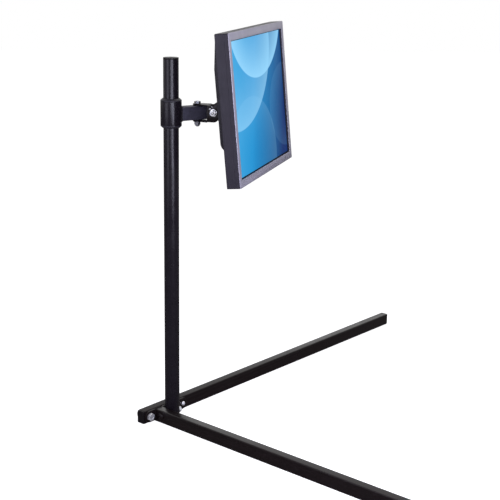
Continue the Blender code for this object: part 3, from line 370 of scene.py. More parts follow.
@dataclass(frozen=True)
class BoardLacquer(Finish):
    """Circuit board: lacquer that is lighter over straight copper tracks."""
    track: Colour = (0.10, 0.38, 0.18)
    cell_scale: float = 60.0
    track_width: float = 0.04

    def shade(self, sheet: ShaderSheet) -> Link:
        """Lacquer and tracks."""
        cells = {"Vector": sheet.place(), "Scale": self.cell_scale, "Mortar Size": self.track_width}
        return sheet.mix(sheet.out("TexBrick", cells, "Fac"), rgba(self.colour), rgba(self.track))


@dataclass(frozen=True)
class LitPicture(Finish):
    """Lit screen: soft overlapping discs on a blue ground that darkens to one corner.

    The picture is read from the panel's own UV map, whose unit square it fills. Each disc is its
    centre, its radius in picture widths, and how much of the pale colour it adds at its rim. The
    ground darkens to the right and down, by a share of each.
    """
    edge: float = 0.006
    soft: float = 0.004
    darker: Point = (0.86, 0.22)
    rim: Colour = (0.004, 0.004, 0.005)
    pale: Colour = (0.30, 0.68, 0.98)
    light: Colour = (0.03, 0.38, 0.74)
    middle: Colour = (0.003, 0.27, 0.62)
    deep: Colour = (0.003, 0.024, 0.14)
    discs: tuple = (((0.10, 1.00, 0.0), 0.66, 0.60), ((0.50, 1.20, 0.0), 0.52, 0.90),
                    ((0.30, 0.10, 0.0), 0.46, 0.12), ((1.02, 0.40, 0.0), 0.34, 0.06))

    def dress(self, sheet: ShaderSheet) -> None:
        """The picture inside a black rim, glowing behind a semi-gloss film.

        Args:
            sheet: the material's nodes.
        """
        super().dress(sheet)
        across, up, _ = sheet.split(sheet.out("UVMap", uv_map="picture"))
        slope = across * self.darker[0] + (1.0 - up) * self.darker[1]
        picture = sheet.mix(sheet.span(slope, 0.0, 0.5), rgba(self.light), rgba(self.middle))
        picture = sheet.mix(sheet.span(slope, 0.42, 0.98), picture, rgba(self.deep))
        for centre, radius, glow in self.discs:
            away = sheet.out("VectorMath", {0: sheet.vector(across, up), 1: centre}, "Value", operation="DISTANCE")
            inside = sheet.span(away, radius + self.soft, radius - self.soft)
            fall = sheet.math("POWER", sheet.span(away, 0.0, radius), 2.0)
            picture = sheet.mix(inside * (fall * glow), picture, rgba(self.pale))
        far = sheet.math("MAXIMUM", *(sheet.math("ABSOLUTE", value - 0.5) for value in (across, up)))
        inside = sheet.math("LESS_THAN", far, 0.5 - self.edge)
        sheet.shine(Base_Color=sheet.mix(inside, rgba(self.rim), rgba(self.colour)), Emission_Strength=1.0,
                    Emission_Color=sheet.mix(inside, (0.0, 0.0, 0.0, 1.0), picture))


BLACK_PAINT = PowderCoat("black_powder_coat", "black_paint", (0.0095, 0.0060, 0.0064), roughness=0.32,
                         specular=0.22, mottle=0.12, grain_scale=1400.0, grain_depth=0.012 * MM)
# Pole and collar coat: the same black paint, with a bluish tint added to its colour; the blue tint is a painted sheen
# of the bluish lamps
POLE_COAT_PAINTED_BLUE_SHEEN = PowderCoat("black_gloss_coat_painted_blue_sheen", "black_paint", (0.0095, 0.0075, 0.0110), roughness=0.27,
                        specular=0.30, mottle=0.10, grain_scale=1400.0, grain_depth=0.010 * MM)
# Arm coat: the black paint made lighter and bluish, a painted sheen standing in for the lamp light that the monitor
# keeps off the arm
ARM_COAT_PAINTED_SHEEN = PowderCoat("arm_coat_painted_sheen", "black_paint", (0.058, 0.055, 0.080), roughness=0.5,
                       specular=0.22, mottle=0.12, grain_scale=1300.0, grain_depth=0.014 * MM)
BLACK_PLASTIC = Finish("black_moulding", "black_plastic", (0.007, 0.0052, 0.0065), roughness=0.45,
                       specular=0.2, grain_scale=2200.0, grain_depth=0.03 * MM)
NYLON = Finish("dark_nylon", "nylon", (0.020, 0.018, 0.025), roughness=0.42, specular=0.3,
               grain_scale=900.0, grain_depth=0.015 * MM)
ZINC = ZincPlate("bright_zinc", "zinc", (0.88, 0.88, 0.90), roughness=0.27)
# Darkened copy of the bright zinc: painted shade and dark reflection on the pivot's bolt, nut and washer
SHADED_ZINC = ZincPlate("zinc_painted_shade", "zinc", (0.24, 0.24, 0.26), roughness=0.36)
COVER_GREY = Finish("cover_moulding", "cover_plastic", (0.025, 0.022, 0.030), roughness=0.46,
                    specular=0.25, grain_scale=1900.0, grain_depth=0.05 * MM)
BEZEL_SILVER = Finish("silver_moulding", "bezel_plastic", (0.30, 0.285, 0.34), metallic=0.25, roughness=0.38,
                      specular=0.4, mottle=0.05, grain_scale=3000.0, grain_depth=0.01 * MM)
SCREEN = LitPicture("lit_screen", "screen", (0.012, 0.016, 0.022), roughness=0.42, specular=0.02,
                    grain_scale=4000.0, grain_depth=0.004 * MM)
CLEAR = ClearAcrylic("clear_acrylic", "clear_plastic", (0.85, 0.88, 0.90), roughness=0.1, smudge=0.03)
SHEET_STEEL = RolledSheet("galvanised_sheet", "sheet_steel", (0.60, 0.61, 0.63), metallic=1.0, roughness=0.36)
BOARD = BoardLacquer("lacquered_board", "circuit_board", (0.04, 0.20, 0.09), roughness=0.4)

FINISH_OF_SLOT = {finish.slot: finish for finish in (BLACK_PAINT, BLACK_PLASTIC, NYLON, ZINC, COVER_GREY,
                                                     BEZEL_SILVER, SCREEN, CLEAR, SHEET_STEEL, BOARD)}


# Geometry Nodes

SOCKET_OF = {int: "Int", float: "Float", tuple: "Vector", type(None): "Object"}


class ShapeTree(NodePad):
    """Geometry Nodes tree with named inputs for its sizes, run once for each piece."""

    def __init__(self, name: str, **sizes: Value) -> None:
        """Start the tree with its inputs.

        Args:
            name: the tree's name.
            **sizes: its inputs with their default values; None stands for an object.
        """
        self.tree = bpy.data.node_groups.new(name, "GeometryNodeTree")
        super().__init__(self.tree)
        interface = self.tree.interface
        interface.new_socket("Geometry", in_out="OUTPUT", socket_type="NodeSocketGeometry")
        self.names: dict[str, str] = {}
        kinds = {key: SOCKET_OF[type(value)] for key, value in sizes.items()}
        for key, kind in {**kinds, "material": "Material"}.items():
            socket = interface.new_socket(key, in_out="INPUT", socket_type="NodeSocket" + kind)
            if sizes.get(key) is not None:
                socket.default_value = sizes[key]
            self.names[key] = socket.identifier
        entry = self.nodes.new("NodeGroupInput")
        *self.sizes, self.material = [Link(self, entry.outputs[key]) for key in self.names]

    def shape(self, kind: str, inputs: Optional[dict[Any, Value]] = None, socket: Union[int, str] = 0,
              **settings: Any) -> Link:
        """One output of a new Geometry Nodes node."""
        return self.out(kind, inputs, socket, family="Geometry", **settings)

    def moved(self, body: Link, z: Value) -> Link:
        """Shape moved along Z."""
        return self.shape("Transform", {"Geometry": body, "Translation": self.vector(z=z)})

    def turned(self, body: Link, degrees: float) -> Link:
        """Shape turned about Z."""
        return self.shape("Transform", {"Geometry": body, "Rotation": (0.0, 0.0, math.radians(degrees))})

    def combined(self, operation: str, first: Link, second: Link) -> Link:
        """Boolean of two closed shapes."""
        inputs = {0: first, 1: second} if operation == "DIFFERENCE" else {1: [first, second]}
        return self.shape("MeshBoolean", inputs, operation=operation, solver="EXACT")

    def rod(self, radius: Value, low: Value, high: Value, sides: int = 48, rows: Value = 1) -> Link:
        """Closed cylinder about Z between two heights."""
        sizes = {"Vertices": sides, "Side Segments": rows, "Radius": radius, "Depth": high - low}
        return self.moved(self.shape("MeshCylinder", sizes, fill_type="NGON"), (high + low) * 0.5)

    def cone(self, wide: Value, narrow: Value, low: Value, high: Value, sides: int = 48) -> Link:
        """Closed cone's frustum about Z between two heights."""
        sizes = {"Vertices": sides, "Radius Bottom": wide, "Radius Top": narrow, "Depth": high - low}
        return self.moved(self.shape("MeshCone", sizes, fill_type="NGON"), low)

    def bar(self, width: Value, height: Value, corner: Value, low: Value, high: Value, steps: int = 8) -> Link:
        """Solid bar about Z of a rectangle with round corners, between two heights.

        Args:
            width: the rectangle's width.
            height: its height.
            corner: its corners' radius.
            low: the bar's lower end.
            high: its upper end.
            steps: segments in a corner.

        Returns:
            The bar.
        """
        square = self.shape("CurvePrimitiveQuadrilateral", {"Width": width, "Height": height})
        outline = self.shape("FilletCurve", {"Curve": square, "Count": steps, "Radius": corner}, mode="POLY")
        line = self.shape("CurvePrimitiveLine", {"Start": self.vector(z=low), "End": self.vector(z=high)})
        return self.shape("CurveToMesh", {"Curve": line, "Profile Curve": outline, "Fill Caps": True})

    def narrowed(self, body: Link, share: Link) -> Link:
        """Shape whose points are drawn in to a share of their distance from Z.

        Args:
            body: the shape.
            share: the share, which may differ from point to point.

        Returns:
            The narrowed shape.
        """
        factors = {0: self.shape("InputPosition"), 1: self.vector(share, share, 1.0)}
        place = self.out("VectorMath", factors, operation="MULTIPLY")
        return self.shape("SetPosition", {"Geometry": body, "Position": place})

    def shape_of(self, thing: Link) -> Link:
        """Geometry of an object."""
        return self.shape("ObjectInfo", {"Object": thing}, "Geometry")

    def end(self, body: Link) -> "ShapeTree":
        """Finish the tree: real geometry with its material.

        Args:
            body: what the tree has made.

        Returns:
            The tree.
        """
        real = self.shape("RealizeInstances", {"Geometry": body})
        dressed = self.shape("SetMaterial", {"Geometry": real, "Material": self.material})
        self.feed(self.nodes.new("NodeGroupOutput").inputs[0], dressed)
        return self

    def make(self, finish: Finish, **sizes: Value) -> Mesh:
        """Run the tree.

        Args:
            finish: the finish of what it makes.
            **sizes: values for its inputs; what isn't given keeps its default.

        Returns:
            A plain mesh.
        """
        holder = in_scene("holder", bpy.data.meshes.new("holder"))
        modifier = holder.modifiers.new("shape", "NODES")
        modifier.node_group = self.tree
        for key, value in {**sizes, "material": finish.material()}.items():
            modifier[self.names[key]] = value
        return baked(holder)


def threaded(tree: ShapeTree, radius: Link, length: Link, pitch: Link) -> Link:
    """Shank about Z from just above 0 down to a length, with a helical thread.

    The points of a fine cylinder move out and in by how far round and down they are.

    Args:
        tree: the tree that the nodes go to.
        radius: the thread's outer radius.
        length: how far the shank hangs below 0.
        pitch: the thread's pitch.

    Returns:
        The closed shank.
    """
    rows_per_turn, sides, chamfer, root = 6.0, 32, 0.0008, 0.00043
    body = tree.rod(radius, length * -1.0, root, sides, tree.math("CEIL", length / pitch * rows_per_turn))
    x, y, z = tree.split(tree.shape("InputPosition"))
    turn = tree.math("ARCTAN2", y, x) / (2 * math.pi)
    cut = tree.math("PINGPONG", z / pitch + turn, 0.5) * 2.0 * (pitch * 0.5)
    tip = tree.math("MAXIMUM", 0.0, chamfer - (z + length))
    return tree.narrowed(body, 1.0 - (cut + tip) / radius)


def hex_body(tree: ShapeTree, flats: Link, low: float, high: Link, both_ends: bool) -> Link:
    """Hexagon prism about Z with chamfered corners.

    It is turned by a degree, so that its corners miss the edges of the round shapes that it is joined with.

    Args:
        tree: the tree that the nodes go to.
        flats: the width across flats.
        low: the height of its foot.
        high: the height of its top.
        both_ends: whether the foot is chamfered too.

    Returns:
        The closed prism.
    """
    past, slope, off_round, flat_share = 0.001, 1.9, 1.1, 0.47
    body = tree.turned(tree.rod(flats / math.sqrt(3), low, high, 6), off_round)
    inner = flats * flat_share - past * slope
    wide = inner + (high - low + 2 * past) * slope
    for ends in ((wide, inner), (inner, wide))[:2 if both_ends else 1]:
        body = tree.combined("INTERSECT", body, tree.cone(*ends, low - past, high + past, 60))
    return body


def hex_bolt_tree() -> ShapeTree:
    """Bolt whose head stands on height 0 and whose threaded shank hangs below.

    Returns:
        The tree.
    """
    dish_foot, dish_rim, dish_depth, past = 0.30, 0.36, 0.00035, 0.001
    tree = ShapeTree("hex_bolt", flats=0.013, head=0.0053, radius=0.004, length=0.02, pitch=0.00125)
    flats, head, radius, length, pitch = tree.sizes
    dish = tree.cone(flats * dish_foot, flats * dish_rim, head - dish_depth, head + past)
    top = tree.combined("DIFFERENCE", hex_body(tree, flats, 0.0, head, False), dish)
    return tree.end(tree.combined("UNION", top, threaded(tree, radius, length, pitch)))


def hex_nut_tree() -> ShapeTree:
    """Nut that stands on height 0, with a flange at its foot and a collar for the nylon ring at its top.

    Returns:
        The tree.
    """
    foot_share, neck_share, crown_share, rim_share = 0.46, 0.44, 0.437, 0.40
    tree = ShapeTree("hex_nut", flats=0.013, height=0.008, bore=0.0043, flange=0.0075, flange_height=0.0016,
                     collar=0.0018)
    flats, height, bore, flange, flange_height, collar = tree.sizes
    top = height - collar
    body = hex_body(tree, flats, 0.0001, top, True)
    foot = tree.cone(flange, flats * foot_share, 0.0, flange_height)
    neck = tree.rod(flats * neck_share, top - 0.001, height - 0.0004)
    crown = tree.cone(flats * crown_share, flats * rim_share, height - 0.0007, height)
    for piece in (foot, neck, crown):
        body = tree.combined("UNION", body, piece)
    return tree.end(tree.combined("DIFFERENCE", body, tree.rod(bore, -0.002, height + 0.002)))


def round_screw_tree(recess: Recess) -> ShapeTree:
    """Screw with a domed head on height 0, a recess in it, and a threaded shank below.

    Args:
        recess: the drive.

    Returns:
        The tree, whose crown input is the share of the head's radius that stays flat on top.
    """
    tree = ShapeTree("round_screw_" + recess.name.lower(), head=0.0055, height=0.004, crown=0.25, radius=0.003,
                     length=0.02, pitch=0.001, drive=0.002)
    head, height, crown, radius, length, pitch, drive = tree.sizes
    rise = tree.split(tree.shape("InputPosition"))[2] / height
    bow = tree.math("SQRT", tree.math("MAXIMUM", 0.0, 1.0 - rise * rise))
    dome = tree.narrowed(tree.rod(head, 0.0, height, 48, 9), tree.math("MAXIMUM", bow, crown))
    floor, roof = height * 0.45, height + 0.001
    if recess is Recess.HEX:
        tool = tree.rod(drive, floor, roof, 6)
    else:
        wing = tree.shape("MeshCube", {"Size": tree.vector(drive * 2.0, drive * 0.42, roof - floor)})
        wing = tree.moved(wing, (roof + floor) * 0.5)
        tool = tree.combined("UNION", wing, tree.turned(wing, 90))
    dome = tree.combined("DIFFERENCE", dome, tool)
    return tree.end(tree.combined("UNION", dome, threaded(tree, radius, length, pitch)))


def tube_tree() -> ShapeTree:
    """Rectangular tube that stands on height 0, with the holes that an object's rods cut in it.

    Returns:
        The tree.
    """
    tree = ShapeTree("rectangular_tube", width=0.022, height=0.032, wall=0.0015, corner=0.0025, length=1.0,
                     holes=None)
    width, height, wall, corner, length, holes = tree.sizes
    tube = tree.bar(width, height, corner, 0.0, length)
    inside = tree.bar(width - wall * 2.0, height - wall * 2.0, corner * 0.5, -0.01, length + 0.01)
    for tool in (inside, tree.shape_of(holes)):
        tube = tree.combined("DIFFERENCE", tube, tool)
    return tree.end(tube)


def weld_tree() -> ShapeTree:
    """Weld bead along a curve object: a thin tube with the ripples that the torch leaves.

    Returns:
        The tree.
    """
    step, thin, swelling = 0.0003, 0.86, 0.2
    tree = ShapeTree("weld_bead", path=None, radius=0.0014, ripple=0.0022)
    path, radius, ripple = tree.sizes
    line = tree.shape("ResampleCurve", {"Curve": tree.shape_of(path), "Length": step}, mode="LENGTH")
    along = tree.shape("SplineParameter", socket="Length")
    swell = tree.math("SQRT", tree.math("FRACT", along / ripple)) * swelling + thin
    line = tree.shape("SetCurveRadius", {"Curve": line, "Radius": swell * radius})
    section = tree.shape("CurvePrimitiveCircle", {"Resolution": 10, "Radius": 1.0})
    return tree.end(tree.shape("CurveToMesh", {"Curve": line, "Profile Curve": section, "Fill Caps": True,
                                               "Scale": tree.shape("InputRadius")}))


def slot_tree() -> ShapeTree:
    """Shell with a row of round-ended air slots cut through it.

    Returns:
        The tree.
    """
    tree = ShapeTree("air_slots", shell=None, count=10, width=0.002, length=0.02, depth=0.01,
                     start=(0.0, 0.0, 0.0), step=(0.0, 0.005, 0.0), turn=(0.0, 0.0, 0.0))
    shell, count, width, length, depth, start, step, turn = tree.sizes
    slot = tree.bar(width, length, width * 0.48, depth * -0.5, depth * 0.5, 4)
    line = tree.shape("MeshLine", {"Count": count, "Start Location": start, "Offset": step}, mode="OFFSET")
    turn = tree.out("EulerToRotation", {0: turn}, family="Function")
    row = tree.shape("InstanceOnPoints", {"Points": line, "Instance": slot, "Rotation": turn})
    tools = tree.shape("RealizeInstances", {"Geometry": row})
    return tree.end(tree.combined("DIFFERENCE", tree.shape_of(shell), tools))


# Mesh code

def in_scene(name: str, data: Any) -> bpy.types.Object:
    """New object in the scene.

    Args:
        name: its name.
        data: its mesh, curve, lamp or camera.

    Returns:
        The object.
    """
    thing = bpy.data.objects.new(name, data)
    bpy.context.scene.collection.objects.link(thing)
    return thing


def drop(*things: bpy.types.Object) -> None:
    """Remove objects."""
    for thing in things:
        bpy.data.objects.remove(thing, do_unlink=True)


def baked(thing: bpy.types.Object) -> Mesh:
    """Plain mesh of an object with its modifiers applied.

    Args:
        thing: the object, which is removed.

    Returns:
        The mesh.
    """
    depsgraph = bpy.context.evaluated_depsgraph_get()
    depsgraph.update()
    mesh = bpy.data.meshes.new_from_object(thing.evaluated_get(depsgraph))
    drop(thing)
    return mesh


def to_mesh(shape: bmesh.types.BMesh, name: str = "shape") -> Mesh:
    """Plain mesh of a shape.

    Args:
        shape: the shape, which is freed.
        name: the mesh's name.

    Returns:
        The mesh.
    """
    mesh = bpy.data.meshes.new(name)
    shape.to_mesh(mesh)
    shape.free()
    return mesh


def loft(loops: Sequence[Sequence[Vector]], ends: bool = True) -> Mesh:
    """Closed skin through loops of as many points each.

    Args:
        loops: the loops in order; a loop of one point closes to a tip.
        ends: whether the first and last loop get a face; without, the last joins the first.

    Returns:
        The mesh, with its faces outwards.
    """
    shape = bmesh.new()
    rings = [[shape.verts.new(point) for point in loop] for loop in loops]
    for low, high in list(zip(rings, rings[1:])) + ([] if ends else [(rings[-1], rings[0])]):
        count = max(len(low), len(high))
        for step in range(count):
            after = (step + 1) % count
            corners = [low[step % len(low)], low[after % len(low)], high[after % len(high)], high[step % len(high)]]
            shape.faces.new(list(dict.fromkeys(corners)))
    for ring in (rings[0], rings[-1]) if ends else ():
        if len(ring) > 2:
            shape.faces.new(ring)
    bmesh.ops.recalc_face_normals(shape, faces=shape.faces)
    return to_mesh(shape)


def rounded(profile: Profile, closed: bool, steps: int = 4) -> list[Point]:
    """Profile with its corners rounded.

    Args:
        profile: points with the radius of each corner; 0 leaves it sharp.
        closed: whether the last point joins the first.
        steps: segments in a quarter turn.

    Returns:
        The points of the rounded profile.
    """
    points, most = [], 0.49
    for index, (x, y, radius) in enumerate(profile):
        if radius <= 0 or (not closed and index in (0, len(profile) - 1)):
            points.append((x, y))
            continue
        here = Vector((x, y))
        before, after = (Vector(profile[near % len(profile)][:2]) - here for near in (index - 1, index + 1))
        reach = min(radius / math.tan(before.angle(after) / 2), before.length * most, after.length * most)
        start, end = here + before.normalized() * reach, here + after.normalized() * reach
        for share in (step / steps for step in range(steps + 1)):
            points.append(tuple(start * (1 - share) ** 2 + here * 2 * share * (1 - share) + end * share ** 2))
    return points


def turned(profile: Profile, sides: int = 96) -> Mesh:
    """Turned piece about Z; a profile that starts on the axis makes a solid, any other a ring.

    Args:
        profile: the half section, as (radius, height, corner radius) points in order.
        sides: facets of a full turn.

    Returns:
        The closed mesh.
    """
    solid = profile[0][0] == 0
    turns = [2 * math.pi * step / sides for step in range(sides)]
    return loft([[Vector((radius * math.cos(turn), radius * math.sin(turn), height))
                  for turn in (turns if radius else [0.0])] for radius, height in rounded(profile, not solid)], solid)


def rectangle(width: float, height: float, corner: float, at: float, steps: int = 6) -> list[Vector]:
    """Loop of a rectangle with round corners about Z.

    Args:
        width: its width.
        height: its height.
        corner: its corners' radius.
        at: the height above Z's nought that it lies at.
        steps: segments in a corner.

    Returns:
        The loop's points.
    """
    points = []
    for quarter, (x, y) in enumerate(((1, 1), (-1, 1), (-1, -1), (1, -1))):
        for turn in (math.pi / 2 * (quarter + step / steps) for step in range(steps + 1)):
            points.append(Vector((x * (width / 2 - corner) + corner * math.cos(turn),
                                  y * (height / 2 - corner) + corner * math.sin(turn), at)))
    return points


def rod(radius: float, start: Sequence[float], end: Sequence[float], sides: int = 48) -> Mesh:
    """Closed cylinder between two points.

    Args:
        radius: its radius.
        start: the middle of its one end.
        end: the middle of the other.
        sides: facets of a full turn.

    Returns:
        The mesh.
    """
    way = Vector(end) - Vector(start)
    mesh = turned([(0, 0, 0), (radius, 0, 0), (radius, way.length, 0), (0, way.length, 0)], sides)
    mesh.transform(shift(*start) @ way.to_track_quat("Z", "Y").to_matrix().to_4x4())
    return mesh


def joined(meshes: Iterable[Mesh]) -> Mesh:
    """One mesh of several.

    Args:
        meshes: the meshes, which stay as they are.

    Returns:
        The mesh.
    """
    shape = bmesh.new()
    for mesh in meshes:
        shape.from_mesh(mesh)
    return to_mesh(shape)


def cut(mesh: Mesh, tool: Mesh) -> Mesh:
    """Mesh with a tool's shape taken out of it.

    Args:
        mesh: a closed mesh.
        tool: another.

    Returns:
        What is left.
    """
    thing, other = in_scene("thing", mesh), in_scene("tool", tool)
    modifier = thing.modifiers.new("cut", "BOOLEAN")
    modifier.object = other
    modifier.operation = "DIFFERENCE"
    result = baked(thing)
    drop(other)
    return result


def eased(mesh: Mesh, width: float, segments: int = 2, rule: Optional[Rule] = None) -> Mesh:
    """Mesh whose sharp edges are rounded over.

    Args:
        mesh: a closed mesh.
        width: how far each edge is drawn in.
        segments: steps of the rounding.
        rule: has to hold at both ends of an edge; None takes every sharp edge.

    Returns:
        The new mesh.
    """
    shape = bmesh.new()
    shape.from_mesh(mesh)
    chosen = [edge for edge in shape.edges
              if len(edge.link_faces) == 2 and edge.calc_face_angle(0) > SHARP
              and (rule is None or all(rule(end.co) for end in edge.verts))]
    bmesh.ops.bevel(shape, geom=chosen, offset=width, segments=segments, profile=0.5, affect="EDGES",
                    clamp_overlap=True, offset_type="OFFSET")
    return to_mesh(shape)


def copied(node: str, into: Matrix) -> Mesh:
    """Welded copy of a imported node's mesh.

    Args:
        node: the node's name.
        into: the frame that the copy is given in.

    Returns:
        The copy.
    """
    same_point, same_plane = 0.002 * MM, math.radians(0.6)
    shape = bmesh.new()
    shape.from_mesh(frame["nodes"][node].data)
    bmesh.ops.remove_doubles(shape, verts=shape.verts, dist=same_point)
    bmesh.ops.dissolve_limit(shape, angle_limit=same_plane, verts=shape.verts, edges=shape.edges)
    mesh = to_mesh(shape)
    mesh.transform(into.inverted())
    return mesh


def bead(points: Sequence[Vector], closed: bool, radius: float) -> Mesh:
    """Weld bead along points.

    Args:
        points: the path.
        closed: whether it runs back to its start.
        radius: the bead's radius.

    Returns:
        The mesh, from the weld tree.
    """
    curve = bpy.data.curves.new("weld_path", "CURVE")
    curve.dimensions = "3D"
    spline = curve.splines.new("POLY")
    spline.points.add(len(points) - 1)
    for target, point in zip(spline.points, points):
        target.co = (*point, 1)
    spline.use_cyclic_u = closed
    path = in_scene("weld_path", curve)
    mesh = weld_tree().make(BLACK_PAINT, path=path, radius=radius)
    drop(path)
    return mesh


# Sub-assemblies

@dataclass(frozen=True)
class BoltSize:
    """Sizes of a hex bolt, its nut and its washer."""
    radius: float
    flats: float
    head: float
    nut: float
    washer: float
    sheet: float
    pitch: float


M8 = BoltSize(4 * MM, 13 * MM, 5.3 * MM, 8 * MM, 8.5 * MM, 1.6 * MM, 1.25 * MM)
M10 = BoltSize(5 * MM, 17 * MM, 6.4 * MM, 8.4 * MM, 11 * MM, 2 * MM, 1.5 * MM)
CLEARANCE = 0.3 * MM
PAST_NUT = 2 * MM


@dataclass
class Fasteners:
    """Trees for the bolts, nuts and screws, shared by the sub-assemblies."""
    bolt: ShapeTree = field(default_factory=hex_bolt_tree)
    nut: ShapeTree = field(default_factory=hex_nut_tree)
    hex_screw: ShapeTree = field(default_factory=lambda: round_screw_tree(Recess.HEX))
    cross_screw: ShapeTree = field(default_factory=lambda: round_screw_tree(Recess.CROSS))


@dataclass
class SubAssembly:
    """Part of the stand that rides on one body and is made in one joint's frame."""
    body: Body
    place: Matrix
    trees: Fasteners
    made: int = 0

    def build(self) -> None:
        """Make the sub-assembly's pieces."""
        raise NotImplementedError

    def add(self, name: str, mesh: Mesh, finish: Finish, *nodes: str,
            at: Optional[Matrix] = None) -> bpy.types.Object:
        """Put a finished piece in place.

        Args:
            name: the piece's name.
            mesh: its mesh, in the sub-assembly's frame or in the frame given by at.
            finish: its finish.
            *nodes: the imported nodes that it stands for.
            at: a frame within the sub-assembly's.

        Returns:
            The piece's object, at the origin.
        """
        mesh.transform(self.place @ (at or Matrix.Identity(4)))
        if not mesh.materials or mesh.materials[0] is None:
            mesh.materials.clear()
            mesh.materials.append(finish.material())
        mesh.shade_smooth()
        mesh.set_sharp_from_angle(angle=SHARP)
        mesh.name = name
        piece = in_scene(name, mesh)
        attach(piece, self.body.value)
        if nodes:
            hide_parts(*nodes)
        self.made += 1
        LOG.info("%s: %d faces on %s", name, len(mesh.polygons), self.body.value)
        return piece

    def ease(self, node: str, finish: Finish, width: float, segments: int = 2) -> None:
        """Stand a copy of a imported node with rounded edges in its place."""
        self.add(node + "_eased", eased(copied(node, self.place), width, segments), finish, node)

    def bolt(self, name: str, node: str, size: BoltSize, length: float, at: Matrix,
             finish: Finish = ZINC) -> None:
        """Add a hex bolt.

        Args:
            name: the piece's name.
            node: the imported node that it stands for.
            size: the bolt's sizes.
            length: its length below the head.
            at: the frame that its head stands on.
            finish: its finish.
        """
        mesh = self.trees.bolt.make(finish, flats=size.flats, head=size.head, radius=size.radius, length=length,
                                    pitch=size.pitch)
        self.add(name, mesh, finish, node, at=at)

    def nut(self, name: str, node: str, size: BoltSize, flanged: bool, at: Matrix, finish: Finish = ZINC) -> None:
        """Add a nut with a wide flange, or with a collar for the nylon ring.

        Args:
            name: the piece's name.
            node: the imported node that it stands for.
            size: the bolt's sizes.
            flanged: whether it has the flange.
            at: the frame that it stands on.
            finish: its finish.
        """
        if flanged:
            foot = {"height": size.nut + size.sheet, "flange": size.washer, "flange_height": size.sheet,
                    "collar": 0.9 * MM}
        else:
            foot = {"height": size.nut, "flange": size.flats * 0.47, "flange_height": 0.4 * MM, "collar": 2.2 * MM}
        mesh = self.trees.nut.make(finish, flats=size.flats, bore=size.radius + CLEARANCE, **foot)
        self.add(name, mesh, finish, node, at=at)

    def washer(self, node: str, size: BoltSize, at: Matrix, finish: Finish = ZINC) -> None:
        """Add a plain washer.

        Args:
            node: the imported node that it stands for.
            size: the bolt's sizes.
            at: the frame that it stands on.
            finish: its finish.
        """
        inner, outer = size.radius + CLEARANCE, size.washer
        mesh = turned([(inner, 0, 0), (outer, 0, 0.25 * MM), (outer, size.sheet, 0.4 * MM),
                       (inner, size.sheet, 0.2 * MM)], 64)
        self.add(node + "_ring", mesh, finish, node, at=at)


